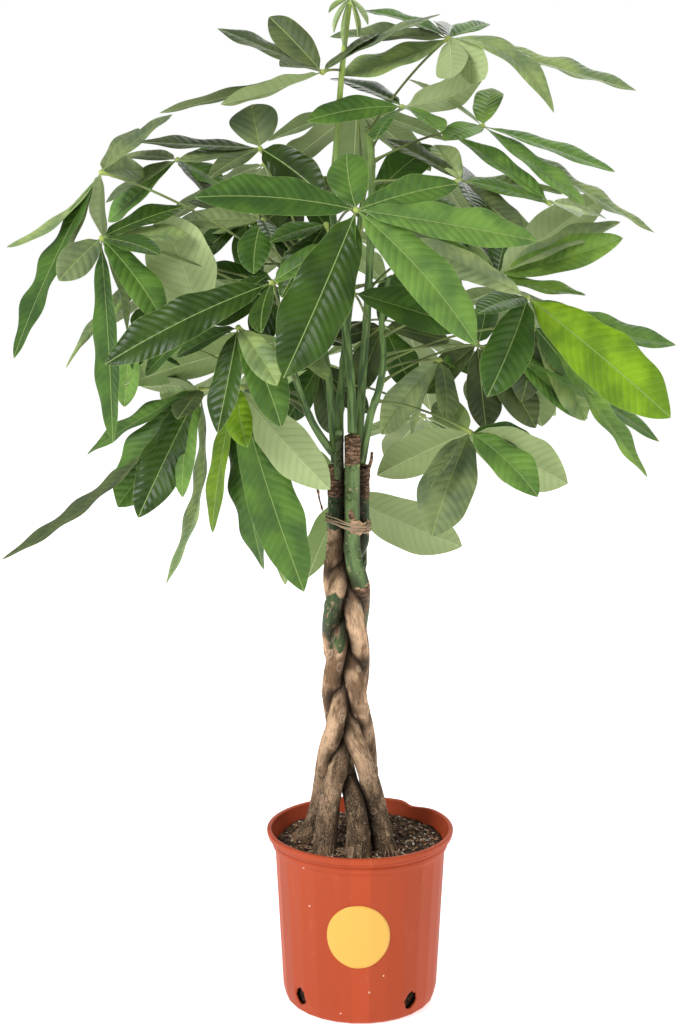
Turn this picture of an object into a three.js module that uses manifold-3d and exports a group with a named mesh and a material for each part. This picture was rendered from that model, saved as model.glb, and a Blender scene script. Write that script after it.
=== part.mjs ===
// Potted money tree: five braided stems carrying leafy shoots, in a round nursery pot.
// Millimetres, +Z up. The origin is the centre of the pot's underside. Seen from the
// front the viewer looks along +Y, and +X is on the right.

import * as THREE from 'three';
import { mergeVertices } from 'three/addons/utils/BufferGeometryUtils.js';
import Module from 'manifold-3d';

const wasm = await Module();
wasm.setup();

const V = (x, y, z) => new THREE.Vector3(x, y, z);
const GAP = 0.3;

// Pot
const POT_HEIGHT = 218;
const POT_PANELS = 28;
const RIM_RADIUS = 113.5;
const RIM_DEPTH = 14;
const STEP_RADIUS = 107;
const STEP_DEPTH = 22;
const BODY_TOP_RADIUS = 103.5;
const BODY_LOW_RADIUS = 94.5;
const BODY_LOW_HEIGHT = 18;
const FOOT_RADIUS = 86;
const POT_WALL = 2.2;
const POT_FLOOR = 3;
const DENT_ANGLE = 53;
const DENT_SPREAD = 9;
const DENT_DEPTH = 4;
const HOLE_WIDTH = 18;
const HOLE_HEIGHT = 22;
const HOLE_LEVEL = 24;
const HOLE_REACH = 28;
const HOLE_ANGLES = [-140, -50, 40, 130];

// Label: a plain round disc on the front of the pot
const LABEL_RADIUS = 37.5;
const LABEL_X = -3;
const LABEL_Z = 114;
const LABEL_THICK = 0.7;
const LABEL_SIDES = 20;

// Soil
const SOIL_LEVEL = 205;
const SOIL_HOLE_FLOOR = 150;

// Braid: each stem swings from side to side once and from front to back twice in one
// length of the pattern. The crossing is the height where it passes the middle towards
// the right. Below its leaving height it runs straight to its foot, where it enters the
// soil, and the top is its upright end.
const BRAID_X = -17;
const BRAID_Y = -10;
const BRAID_SWING = 17.5;
const BRAID_DEPTH = 23;
const BRAID_LENGTH = 390;
const BRAID_END = 520;
const UPRIGHT_START = 580;
const STEM_RADIUS = 11;
const STEM_TOP_RADIUS = 9;
const STEM_SIDES = 7;
const STEM_STEP = 28;
const PRESS_GAP = 0.35;
const STEMS = [
  { name: 'trunk_back_left', crossing: 370, leaving: 340, spread: 0.9, foot: [30, -44], footRadius: 15,
    top: [-25, 12], height: 660 },
  { name: 'trunk_left', crossing: 448, leaving: 375, spread: 0.9, foot: [28, 18], footRadius: 14,
    top: [-30, -9], height: 668 },
  { name: 'trunk_centre', crossing: 604, leaving: 350, spread: 0.65, foot: [-65, 0], footRadius: 15,
    top: [-10, -22], height: 705 },
  { name: 'trunk_back_right', crossing: 292, leaving: 285, spread: 0.9, foot: [-3, -58], footRadius: 17,
    top: [-3, 15], height: 674 },
  { name: 'trunk_right', crossing: 526, leaving: 312, spread: 0.9, foot: [-43, -47], footRadius: 16,
    top: [1, -5], height: 667 },
];

// Tie: a loop of twine round the upright stems
const TIE_LEVEL = 598;
const TIE_HEIGHT = 8;
const TIE_THICK = 2;
const TIE_SLOPE = 0.22;
const TIE_SAMPLES = 18;

// Shoots: centre line points and end radii. A branch starts inside its shoot.
const SHOOTS = {
  leader: {
    radii: [5.6, 2.6],
    path: [[-10, -22, 705.8], [-12, -17, 766], [-19, -8, 836], [-29, -3, 917], [-33, 0, 974],
      [-28, 0, 1042], [-24, 0, 1098], [-19, 0, 1148], [-13, 0, 1186]],
  },
  tall: {
    radii: [5.2, 3.4],
    path: [[-3, 15, 674.3], [2, 13, 766], [8, 8, 859], [12, 4, 974], [11, 2, 1031], [6, 0, 1056]],
  },
  low: {
    radii: [5, 3],
    path: [[1, -5, 667.8], [11, -7, 724], [22, -8, 760], [26, -5, 795], [24, 0, 840], [32, 5, 885]],
  },
  left: {
    radii: [5.2, 3],
    path: [[-30, -9, 668.5], [-35, -8, 742], [-39, -6, 780], [-48, -2, 824], [-60, 2, 882], [-72, 5, 940]],
    branch: [[-32, -9, 680], [-46, -14, 700], [-58, -21, 722], [-67, -27, 745], [-77, -33, 777], [-90, -38, 830]],
  },
  back: {
    radii: [5, 3],
    path: [[-25, 12, 661.8], [-24, 34, 740], [-16, 52, 820], [-6, 62, 900], [4, 68, 985]],
  },
};

// Leaves: the shoot, how far along it the stalk starts, the hub where the stalk ends, and
// the leaflets. A leaflet is its reach from the hub to the right, to the back and up, its
// width, how squarely its upper side faces the viewpoint (1 is square on, 0 is edge on and
// below 0 its underside shows) and, where it isn't the usual, its bow.
const VIEWPOINT = [-25, -2400, 1084];
const LEAVES = [
  { on: 'leader', from: 0.8, hub: [-45, -20, 1117], leaflets: [
    [-60, 40, 62, 40, 0.95], [-120, 60, 50, 44, 0.4, 0], [-45, -60, 5, 34, 0.2], [-180, -40, -45, 54, -0.2, 0],
    [-110, -70, -35, 44, -0.4, -0.03], [135, 40, 65, 46, 0.2], [65, 35, 45, 34, 0.25]] },
  { on: 'leader', from: 0.42, hub: [-7, -150, 970], leaflets: [
    [-10, 60, 58, 50, 1], [-172, -20, 14, 58, 0.8], [-78, -45, -176, 76, 1], [-12, 10, -114, 50, 0.5],
    [128, -45, -141, 62, 0.9], [195, -10, -33, 56, 0.75], [112, 40, 26, 40, 0.9]] },
  { on: 'leader', from: 0.3, hub: [4, -30, 950], leaflets: [
    [123, 0, -35, 36, 0.5], [60, 30, 40, 34, 0.4]] },
  { on: 'leader', from: 0.25, hub: [-40, -70, 950], leaflets: [
    [-62, -25, -18, 34, 0.6], [-50, -15, -80, 46, 0.8]] },
  { on: 'tall', from: 0.35, hub: [-10, -60, 873], leaflets: [
    [128, 0, -40, 60, 0.8], [-60, 20, -75, 44, 0.7]] },
  { on: 'tall', from: 0.5, hub: [14, 40, 975], leaflets: [
    [72, 40, 58, 50, 0.9], [110, 50, -20, 46, 0.5]] },
  { on: 'tall', from: 0.94, hub: [100, 30, 1156], leaflets: [
    [-136, 30, 2, 46, 0.42], [-99, 70, 33, 40, 0.28], [8, 100, 18, 46, 1], [49, 80, 19, 34, 0.5],
    [118, -40, -84, 44, 0.55, 0.2], [218, 10, -59, 56, 0.28, 0], [38, -60, -46, 42, -0.95],
    [-2, -75, -46, 42, -0.95], [-125, -20, -42, 56, 0.5, -0.03]] },
  { on: 'tall', from: 0.8, hub: [47, 0, 1079], leaflets: [
    [-83, 90, 32, 40, 0.4], [-108, -40, -16, 40, 0.75], [-32, -80, -36, 36, 0.4], [98, 40, 40, 60, -0.7, -0.12],
    [40, -90, -27, 38, 0.4]] },
  { on: 'tall', from: 0.74, hub: [140, 20, 1057], leaflets: [
    [16, 90, 43, 38, 0.95], [-85, 40, 53, 34, 0.2], [-47, -90, -15, 38, 0.65], [153, 0, -52, 48, 0.33, 0],
    [204, 20, -123, 56, 0.28, -0.01], [111, -70, -87, 46, 0.45, 0]] },
  { on: 'tall', from: 0.6, hub: [113, -20, 996], leaflets: [
    [-86, 60, 46, 38, 0.45], [2, 120, 17, 40, 0.55], [119, 30, -16, 38, 0.38], [63, -100, -55, 42, 0.85],
    [-28, 60, 39, 32, 0.9], [13, -100, -33, 36, 0.5]] },
  { on: 'tall', from: 0.66, hub: [213, -40, 972], leaflets: [
    [-104, 40, 72, 42, 0.5], [-93, -30, 25, 36, 0.4], [23, -90, -11, 32, 0.2], [70, 60, -20, 38, 0.3]] },
  { on: 'low', from: 0.85, hub: [158, 10, 887], leaflets: [
    [144, 20, 60, 48, 0.5], [142, -20, 44, 54, 0.75, -0.03], [132, 50, 90, 54, -1], [-48, 90, 23, 38, -0.8],
    [-7, 100, 30, 38, 0.65], [96, -60, -18, 38, 0.42, -0.03], [20, 95, 42, 36, 0.95]] },
  { on: 'low', from: 0.7, hub: [185, -90, 870], leaflets: [
    [-143, 20, 61, 44, 0.78], [-48, -60, -103, 56, 1], [-62, -100, -8, 40, 0.65], [160, -20, -132, 76, 0.97],
    [170, 20, -55, 50, 0.55, -0.05], [144, 30, -209, 64, 0.4, -0.02], [83, 30, -113, 46, 0.65]] },
  { on: 'low', from: 0.6, hub: [176, 30, 797], leaflets: [
    [88, 60, -84, 44, 0.62], [65, 90, -91, 44, 0.6], [98, 40, -87, 44, 0.8], [184, 30, -114, 54, 0.4],
    [45, 60, -100, 64, -0.8], [-40, 50, -75, 60, -0.8]] },
  { on: 'low', from: 0.3, hub: [126, -30, 709], leaflets: [
    [-46, -60, -111, 68, 1], [74, -60, -65, 52, 0.85], [72, 20, -54, 38, 0.85], [81, 60, -22, 42, 0.95],
    [118, 30, -66, 70, -1], [-47, -60, -53, 38, 0.38], [-38, 80, 22, 40, 0.95], [-106, 62, -62, 56, -0.95]] },
  { on: 'low', from: 0.5, hub: [94, 40, 784], leaflets: [
    [-68, 40, -95, 44, 0.95], [-33, -20, -90, 34, 0.2], [4, -60, -63, 34, 0.85], [70, 70, -40, 44, 0.5]] },
  { on: 'left', from: 0.95, hub: [-115, -30, 1033], leaflets: [
    [-10, 30, 48, 60, 1], [74, -60, -53, 50, 1], [-91, -20, -13, 38, 0.42, 0], [-138, 0, 7, 42, 0.33, 0],
    [-53, -60, -31, 36, 0.55]] },
  { on: 'left', from: 0.9, hub: [-212, 20, 1019], leaflets: [
    [-87, 30, -51, 38, 0.38], [-88, 60, -74, 44, 0.6], [37, -80, -38, 36, 0.5], [55, -60, -28, 36, 0.7],
    [-70, 60, 2, 36, 0.4], [89, 30, 11, 36, 0.52]] },
  { on: 'left', from: 0.75, hub: [-296, -20, 1006], leaflets: [
    [78, 50, 64, 40, 0.42], [36, 70, 48, 36, 0.58], [44, 60, 1, 34, 0.9], [-102, -20, -210, 60, 0.42, 0.01],
    [-113, 20, -86, 46, 0.2, -0.1], [7, -60, -68, 36, -0.55], [-55, 40, -123, 44, 0.36]] },
  { on: 'left', from: 0.6, hub: [-293, -60, 934], leaflets: [
    [-43, -40, -44, 42, 0.95], [92, 40, 33, 38, 0.6], [99, 20, 2, 38, 0.52], [71, -60, -15, 36, 0.6],
    [74, -40, -94, 44, 0.9], [11, -20, -230, 50, 0.6, -0.02], [25, 20, -109, 38, 0.3]] },
  { on: 'left', from: 0.82, hub: [-114, 0, 951], leaflets: [
    [-98, 20, -3, 36, 0.72], [-7, -70, -56, 42, 0.95], [13, -60, -19, 32, 0.7], [-60, 90, -20, 40, 0.4]] },
  { on: 'left', from: 0.7, hub: [-240, 40, 900], leaflets: [
    [-112, 20, -128, 44, 0.25], [-60, 70, -70, 44, 0.4], [50, -30, -75, 40, 0.4], [70, -20, 20, 36, 0.5]] },
  { on: 'left', from: 0.55, hub: [-80, 10, 812], leaflets: [
    [-198, 10, -55, 60, -0.8], [-60, 60, -80, 44, 0.6], [40, -60, -40, 38, 0.7]] },
  { on: 'branch', from: 0.9, hub: [-99, -130, 890], leaflets: [
    [-181, -30, -86, 58, 0.88], [-9, -70, -47, 34, 0.68], [60, -10, 40, 36, 0.7]] },
  { on: 'branch', from: 0.75, hub: [-137, -120, 840], leaflets: [
    [-22, -30, -113, 42, 0.85], [48, -40, -105, 48, 0.95], [44, -50, -58, 38, 0.95], [-70, 20, -35, 40, 0.5]] },
  { on: 'branch', from: 0.8, hub: [-178, -60, 838], leaflets: [
    [-50, 30, 122, 80, -1], [-70, 20, -62, 44, 0.5], [70, 50, 50, 44, 0.6]] },
  { on: 'branch', from: 0.55, hub: [-141, -60, 765], leaflets: [
    [14, -70, -57, 36, 0.85], [105, -20, -114, 58, -1], [28, 10, -215, 56, 0.6], [75, -20, -234, 66, 0.95],
    [52, 30, -238, 56, -0.6], [-32, 20, -173, 48, 0.45]] },
  { on: 'branch', from: 0.65, hub: [-189, 10, 753], leaflets: [
    [-71, -40, -145, 58, 0.98], [-100, 10, -142, 76, 0.9], [-139, 40, -84, 48, 0.4], [-236, -20, -200, 66, 0.22, -0.06],
    [-18, -50, -119, 40, 0.75], [-42, -20, -230, 60, 0.25, -0.1], [-20, -80, -23, 34, 0.75],
    [-74, 60, -5, 36, -0.6], [-52, 60, -14, 44, 1]] },
  { on: 'back', from: 0.12, hub: [-18, 60, 618], leaflets: [
    [143, 20, -68, 66, -1, 0.06], [-46, 40, -112, 44, -0.9], [-60, 40, 50, 36, -0.9], [60, 90, -50, 44, -0.6]] },
];

// Leaves behind the tree: the bearing of the hub from the stems, its distance and its
// height. Each has a fan of drooping leaflets round the outward direction.
const BACK_LEAVES = [
  { on: 'back', from: 0.98, bearing: 92, out: 120, height: 1075 },
  { on: 'back', from: 0.9, bearing: 128, out: 190, height: 1010 },
  { on: 'back', from: 0.9, bearing: 58, out: 200, height: 985 },
  { on: 'back', from: 0.75, bearing: 100, out: 250, height: 925 },
  { on: 'back', from: 0.7, bearing: 148, out: 230, height: 880 },
  { on: 'back', from: 0.65, bearing: 40, out: 235, height: 860 },
  { on: 'back', from: 0.5, bearing: 75, out: 240, height: 800 },
  { on: 'back', from: 0.45, bearing: 118, out: 235, height: 770 },
  { on: 'back', from: 0.3, bearing: 62, out: 170, height: 700 },
];
const FAN_LEAFLETS = 5;
const FAN_STEP = 48;
const FAN_LONGEST = 185;
const FAN_SHORTEST = 110;

// Young leaf: folded leaflets that hang at the tip of the leader
const YOUNG_HUB = [-13, 0, 1188];
const YOUNG_LEAFLETS = [[-20, 0, -13], [-15, -5, -33], [-5, -9, -48], [8, -8, -36], [17, 3, -24]];
const YOUNG_WIDTH = 8;

// Leaflets and stalks
const BLADE_THICK = 0.9;
const BLADE_ROOT = 1.5;
const BLADE_BOW = 0.03;
const BLADE_FOLD = 0.16;
const BLADE_STATIONS = [[0.3, 0.72], [0.72, 0.96]];
const KNOB_RADIUS = 6.5;
const KNOB_LENGTH = 3.5;
const STALK_RADIUS = 2.3;
const STALK_STEPS = 3;
const STALK_SIDES = 3;
const STALK_LIFT = 0.12;
const SHOOT_SIDES = 5;
const SHOOT_STEPS = 9;

const clamp = (x, low, high) => Math.min(Math.max(x, low), high);
const smooth = (x) => x * x * (3 - 2 * x);
const mix = (a, b, t) => a + (b - a) * t;
const radians = (degrees) => degrees * Math.PI / 180;

// Closed solids from points and triangles
function solid(points, triangles) {
  const vertProperties = new Float32Array(points.flatMap((p) => [p.x, p.y, p.z]));
  const triVerts = new Uint32Array(triangles.flat());
  return new wasm.Manifold(new wasm.Mesh({ numProp: 3, vertProperties, triVerts }));
}

// A round bar through the points, closed by a flat polygon at each end
function bar(points, radii, sides) {
  const rings = [];
  let across = V(1, 0, 0);
  points.forEach((p, i) => {
    const ahead = points[Math.min(i + 1, points.length - 1)];
    const behind = points[Math.max(i - 1, 0)];
    const along = ahead.clone().sub(behind).normalize();
    if (i === 0 && Math.abs(along.x) > 0.9) across = V(0, 1, 0);
    across = across.clone().addScaledVector(along, -across.dot(along)).normalize();
    const other = along.clone().cross(across);
    for (let k = 0; k < sides; k++) {
      const turn = 2 * Math.PI * k / sides;
      rings.push(p.clone().addScaledVector(across, radii[i] * Math.cos(turn))
        .addScaledVector(other, radii[i] * Math.sin(turn)));
    }
  });
  const triangles = [];
  for (let i = 0; i + 1 < points.length; i++) {
    for (let k = 0; k < sides; k++) {
      const a = i * sides + k;
      const b = i * sides + (k + 1) % sides;
      triangles.push([a, b, b + sides], [a, b + sides, a + sides]);
    }
  }
  const last = (points.length - 1) * sides;
  for (let k = 1; k + 1 < sides; k++) {
    triangles.push([0, k + 1, k], [last, last + k, last + k + 1]);
  }
  return solid(rings, triangles);
}

function mesh(name, body, colour, roughness) {
  const data = body.getMesh();
  const geometry = new THREE.BufferGeometry();
  geometry.setAttribute('position', new THREE.BufferAttribute(Float32Array.from(data.vertProperties), 3));
  geometry.setIndex(new THREE.BufferAttribute(Uint32Array.from(data.triVerts), 1));
  const material = new THREE.MeshStandardMaterial({ color: colour, roughness, metalness: 0 });
  const result = new THREE.Mesh(geometry, material);
  result.name = name;
  return result;
}

// A solid from a closed three.js geometry, with its doubled points merged and then moved
// by the shape function
function merged(geometry, shape = (p) => p) {
  geometry.deleteAttribute('normal');
  geometry.deleteAttribute('uv');
  const whole = mergeVertices(geometry, 1e-3);
  const place = whole.attributes.position;
  const points = Array.from({ length: place.count }, (_, i) => shape(V(0, 0, 0).fromBufferAttribute(place, i)));
  const index = whole.index.array;
  const triangles = Array.from({ length: index.length / 3 }, (_, i) => [...index.slice(3 * i, 3 * i + 3)]);
  return solid(points, triangles);
}

// A solid of revolution: the profile of [radius, height] starts and ends on the axis
function turned(profile, segments, shape) {
  const outline = profile.map(([radius, height]) => new THREE.Vector2(radius, height));
  return merged(new THREE.LatheGeometry(outline, segments).rotateX(Math.PI / 2), shape);
}

// Pot: a thin-walled tapered tub with a rolled rim over a step ring
function rimDent(p) {
  const bearing = Math.atan2(p.y, p.x) * 180 / Math.PI;
  const away = (bearing - DENT_ANGLE) / DENT_SPREAD;
  const height = clamp((p.z - BODY_LOW_HEIGHT) / (POT_HEIGHT - BODY_LOW_HEIGHT), 0, 1);
  return V(p.x, p.y, p.z - DENT_DEPTH * Math.exp(-away * away) * height ** 4);
}

function drainHole(degrees) {
  const half = HOLE_WIDTH / 2;
  const top = HOLE_HEIGHT / 2;
  const outline = new THREE.Shape();
  outline.moveTo(-half, -top);
  outline.lineTo(half, -top);
  outline.lineTo(half, top - half);
  outline.lineTo(half / 2, top);
  outline.lineTo(-half / 2, top);
  outline.lineTo(-half, top - half);
  const through = new THREE.ExtrudeGeometry(outline, { depth: HOLE_REACH, bevelEnabled: false });
  through.rotateX(Math.PI / 2).translate(0, HOLE_REACH / 2 - BODY_LOW_RADIUS, HOLE_LEVEL);
  return merged(through.rotateZ(radians(degrees + 90)));
}

const potProfile = [
  [0, 0], [FOOT_RADIUS, 0], [FOOT_RADIUS + 5, 4], [BODY_LOW_RADIUS, BODY_LOW_HEIGHT],
  [BODY_TOP_RADIUS, POT_HEIGHT - STEP_DEPTH],
  [STEP_RADIUS, POT_HEIGHT - STEP_DEPTH + 1], [STEP_RADIUS, POT_HEIGHT - RIM_DEPTH],
  [RIM_RADIUS - 1, POT_HEIGHT - RIM_DEPTH], [RIM_RADIUS, POT_HEIGHT - 6], [RIM_RADIUS - 2, POT_HEIGHT],
  [RIM_RADIUS - 5, POT_HEIGHT], [RIM_RADIUS - 7, POT_HEIGHT - 6],
  [BODY_TOP_RADIUS - POT_WALL, POT_HEIGHT - STEP_DEPTH],
  [BODY_LOW_RADIUS - POT_WALL, BODY_LOW_HEIGHT], [FOOT_RADIUS, POT_FLOOR], [0, POT_FLOOR],
];
const drainHoles = HOLE_ANGLES.map(drainHole);
const pot = drainHoles.reduce((body, hole) => body.subtract(hole), turned(potProfile, POT_PANELS, rimDent));

// Label: a thin round disc, bent to follow the pot's wall
function onWall(p) {
  const slope = (BODY_TOP_RADIUS - BODY_LOW_RADIUS) / (POT_HEIGHT - STEP_DEPTH - BODY_LOW_HEIGHT);
  const z = LABEL_Z - p.y;
  const r = BODY_LOW_RADIUS + slope * (z - BODY_LOW_HEIGHT) + 2 * GAP + p.z;
  const bearing = (LABEL_X - p.x) / r - Math.PI / 2;
  return V(r * Math.cos(bearing), r * Math.sin(bearing), z);
}

const labelProfile = [[0, 0], [LABEL_RADIUS / 2, 0], [LABEL_RADIUS, 0], [LABEL_RADIUS, LABEL_THICK],
  [LABEL_RADIUS / 2, LABEL_THICK], [0, LABEL_THICK]];
const label = turned(labelProfile, LABEL_SIDES, onWall);

// Braided stems, each pressed in a little where an earlier one lies against it
function stemPoint(stem, z) {
  const turn = 2 * Math.PI * (stem.crossing - z) / BRAID_LENGTH;
  let x = BRAID_X + BRAID_SWING * Math.sin(turn);
  let y = BRAID_Y - BRAID_DEPTH * Math.sin(2 * turn);
  const rise = clamp((z - SOIL_LEVEL) / (stem.leaving - SOIL_LEVEL), 0, 1) ** stem.spread;
  x = mix(stem.foot[0], x, rise);
  y = mix(stem.foot[1], y, rise);
  const upright = smooth(clamp((z - BRAID_END) / (UPRIGHT_START - BRAID_END), 0, 1));
  return V(mix(x, stem.top[0], upright), mix(y, stem.top[1], upright), z);
}

function stemRadius(stem, z) {
  const rise = clamp((z - SOIL_LEVEL) / (stem.leaving - SOIL_LEVEL), 0, 1) ** 0.6;
  const low = mix(stem.footRadius, STEM_RADIUS, rise);
  return mix(low, STEM_TOP_RADIUS, smooth(clamp((z - BRAID_END) / 80, 0, 1)));
}

function stemBar(stem, extra, lower) {
  const steps = Math.round((stem.height - SOIL_HOLE_FLOOR) / STEM_STEP);
  const heights = Array.from({ length: steps + 1 }, (_, i) => mix(SOIL_HOLE_FLOOR, stem.height, i / steps));
  const line = heights.map((z) => stemPoint(stem, z));
  line[0].z -= lower;
  return bar(line, heights.map((z) => stemRadius(stem, z) + extra), STEM_SIDES);
}

const stems = STEMS.map((stem, i) => STEMS.slice(0, i)
  .reduce((body, other) => body.subtract(stemBar(other, PRESS_GAP, 0)), stemBar(stem, 0, 0)));

// Soil: fills the pot, with a plain hole for each stem
const soilProfile = [
  [0, POT_FLOOR + GAP], [FOOT_RADIUS - GAP, POT_FLOOR + GAP],
  [BODY_LOW_RADIUS - POT_WALL - GAP - 0.3, BODY_LOW_HEIGHT],
  [BODY_TOP_RADIUS - POT_WALL - GAP - 0.3, POT_HEIGHT - STEP_DEPTH],
  [BODY_TOP_RADIUS - POT_WALL - GAP, SOIL_LEVEL - 3], [70, SOIL_LEVEL], [0, SOIL_LEVEL],
];
const soil = STEMS.reduce((body, stem) => body.subtract(stemBar(stem, PRESS_GAP, GAP)),
  turned(soilProfile, POT_PANELS));

// Tie: one closed loop round the upright stems
function tieLoop() {
  const centre = STEMS.reduce((sum, stem) => sum.add(V(stem.top[0], stem.top[1], 0)), V(0, 0, 0))
    .multiplyScalar(1 / STEMS.length);
  const points = [];
  for (let k = 0; k < TIE_SAMPLES; k++) {
    const turn = 2 * Math.PI * k / TIE_SAMPLES;
    const out = V(Math.cos(turn), Math.sin(turn), 0);
    const reach = Math.max(...STEMS.map((stem) => {
      const p = V(stem.top[0], stem.top[1], 0).sub(centre);
      return p.dot(out) + STEM_TOP_RADIUS + GAP + 0.5;
    }));
    for (const [r, z] of [[0, -1], [TIE_THICK, -1], [TIE_THICK, 1], [0, 1]]) {
      const p = centre.clone().addScaledVector(out, reach + r);
      const level = TIE_LEVEL - TIE_SLOPE * (p.x - centre.x);
      points.push(p.setZ(level + z * TIE_HEIGHT / 2));
    }
  }
  const triangles = [];
  for (let k = 0; k < TIE_SAMPLES; k++) {
    const a = 4 * k;
    const b = 4 * ((k + 1) % TIE_SAMPLES);
    for (let i = 0; i < 4; i++) {
      const j = (i + 1) % 4;
      triangles.push([a + i, b + i, b + j], [a + i, b + j, a + j]);
    }
  }
  return solid(points, triangles);
}

// Leaflets: a thin blade folded along its midrib, arched towards its upper side
const UP = V(0, 0, 1);

function upperSide(along, hub, face) {
  const flat = (v) => v.clone().addScaledVector(along, -v.dot(along)).normalize();
  const outward = V(hub.x, hub.y, 0).normalize();
  if (face === null) return flat(UP.clone().multiplyScalar(0.8).addScaledVector(outward, 0.5));
  const front = flat(V(...VIEWPOINT).sub(hub).normalize());
  const side = along.clone().cross(front).normalize();
  const skyward = side.z + 0.2 * side.dot(outward) < 0 ? side.negate() : side;
  return front.multiplyScalar(face).addScaledVector(skyward, Math.sqrt(1 - face * face)).normalize();
}

function blade(hub, [x, y, z, width, face, bow = BLADE_BOW]) {
  const reach = V(x, y, z);
  const along = reach.clone().normalize();
  const length = reach.length();
  const up = upperSide(along, hub, face);
  const across = along.clone().cross(up).normalize();
  const middle = (s) => hub.clone().addScaledVector(reach, s)
    .addScaledVector(up, bow * length * 4 * s * (1 - s));
  const half = BLADE_THICK / 2;
  const root = hub.clone().addScaledVector(along, BLADE_ROOT);
  const points = [root.clone().addScaledVector(up, half), root.clone().addScaledVector(up, -half)];
  for (const [s, share] of BLADE_STATIONS) {
    const p = middle(s);
    const reachSide = width / 2 * share;
    const edge = BLADE_FOLD * reachSide;
    for (const side of [half, -half]) {
      points.push(p.clone().addScaledVector(across, -reachSide).addScaledVector(up, edge + side));
      points.push(p.clone().addScaledVector(up, side));
      points.push(p.clone().addScaledVector(across, reachSide).addScaledVector(up, edge + side));
    }
  }
  const tip = hub.clone().add(reach);
  points.push(tip.clone().addScaledVector(up, half), tip.clone().addScaledVector(up, -half));
  const n = points.length;
  const [tipUp, tipDown] = [n - 2, n - 1];
  const triangles = [];
  const first = 2;
  triangles.push([0, first + 1, first], [0, first + 2, first + 1], [1, first + 3, first + 4], [1, first + 4, first + 5]);
  triangles.push([0, first, first + 3], [0, first + 3, 1], [1, first + 5, first + 2], [1, first + 2, 0]);
  for (let i = 0; i + 1 < BLADE_STATIONS.length; i++) {
    const a = first + 6 * i;
    const b = a + 6;
    triangles.push([a, a + 1, b + 1], [a, b + 1, b], [a + 1, a + 2, b + 1], [a + 2, b + 2, b + 1]);
    triangles.push([a + 3, b + 4, a + 4], [a + 3, b + 3, b + 4], [a + 4, b + 4, a + 5], [a + 5, b + 4, b + 5]);
    triangles.push([a, b, b + 3], [a, b + 3, a + 3], [a + 2, a + 5, b + 5], [a + 2, b + 5, b + 2]);
  }
  const end = first + 6 * (BLADE_STATIONS.length - 1);
  triangles.push([end, end + 1, tipUp], [end + 1, end + 2, tipUp], [end + 3, tipDown, end + 4], [end + 4, tipDown, end + 5]);
  triangles.push([end, tipUp, tipDown], [end, tipDown, end + 3], [end + 2, end + 5, tipDown], [end + 2, tipDown, tipUp]);
  return solid(points, triangles);
}

// Shoots, leaf stalks and whole leaves
const curve = (points) => new THREE.CatmullRomCurve3(points.map((p) => V(...p)));

function shootBar(points, [thick, thin]) {
  const line = curve(points).getPoints(SHOOT_STEPS);
  return bar(line, line.map((_, i) => mix(thick, thin, i / SHOOT_STEPS)), SHOOT_SIDES);
}

function stalk(start, hub) {
  const lift = STALK_LIFT * start.distanceTo(hub);
  const bend = start.clone().lerp(hub, 0.5).add(V(0, 0, lift));
  const path = new THREE.QuadraticBezierCurve3(start, bend, hub);
  const line = path.getPoints(STALK_STEPS);
  const radii = line.map(() => STALK_RADIUS);
  const along = path.getTangent(1);
  line[STALK_STEPS].addScaledVector(along, -KNOB_LENGTH);
  line.push(hub.clone().addScaledVector(along, KNOB_LENGTH));
  radii.push(KNOB_RADIUS);
  return bar(line, radii, STALK_SIDES);
}

function backLeaflets(leaf) {
  const blades = [];
  for (let i = 0; i < FAN_LEAFLETS; i++) {
    const spread = (i - (FAN_LEAFLETS - 1) / 2) * FAN_STEP;
    const turn = radians(leaf.bearing + spread);
    const inward = Math.abs(spread) / 100;
    const length = mix(FAN_LONGEST, FAN_SHORTEST, inward);
    const droop = radians(mix(42, 18, inward));
    blades.push([length * Math.cos(droop) * Math.cos(turn), length * Math.cos(droop) * Math.sin(turn),
      -length * Math.sin(droop), 0.31 * length, null]);
  }
  return blades;
}

const backHub = (leaf) => [leaf.out * Math.cos(radians(leaf.bearing)), leaf.out * Math.sin(radians(leaf.bearing)),
  leaf.height];
const allLeaves = [...LEAVES, ...BACK_LEAVES.map((leaf) => ({ ...leaf, hub: backHub(leaf), leaflets: backLeaflets(leaf) }))];

function leafyShoot(name) {
  const { path, branch, radii } = SHOOTS[name];
  const pieces = [shootBar(path, radii)];
  if (branch) pieces.push(shootBar(branch, radii));
  for (const leaf of allLeaves) {
    const onBranch = leaf.on === 'branch' && branch;
    if (leaf.on !== name && !onBranch) continue;
    const hub = V(...leaf.hub);
    pieces.push(stalk(curve(onBranch ? branch : path).getPoint(leaf.from), hub));
    for (const leaflet of leaf.leaflets) pieces.push(blade(hub, leaflet));
  }
  if (name === 'leader') {
    const hub = V(...YOUNG_HUB);
    for (const reach of YOUNG_LEAFLETS) pieces.push(blade(hub, [...reach, YOUNG_WIDTH, 0.5]));
  }
  return wasm.Manifold.union(pieces);
}

// The whole plant in its pot
const group = new THREE.Group();
group.add(mesh('pot', pot, 0xc85c3e, 0.5));
group.add(mesh('label', label, 0xfdc850, 0.45));
group.add(mesh('soil', soil, 0x2d231c, 0.95));
STEMS.forEach((stem, i) => group.add(mesh(stem.name, stems[i], 0x967859, 0.8)));
group.add(mesh('tie', tieLoop(), 0x8c7a62, 0.9));
for (const name of Object.keys(SHOOTS)) {
  group.add(mesh(`leafy_shoot_${name}`, leafyShoot(name), 0x4a7c37, 0.45));
}

export default group;
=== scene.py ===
import math
import random

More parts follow.
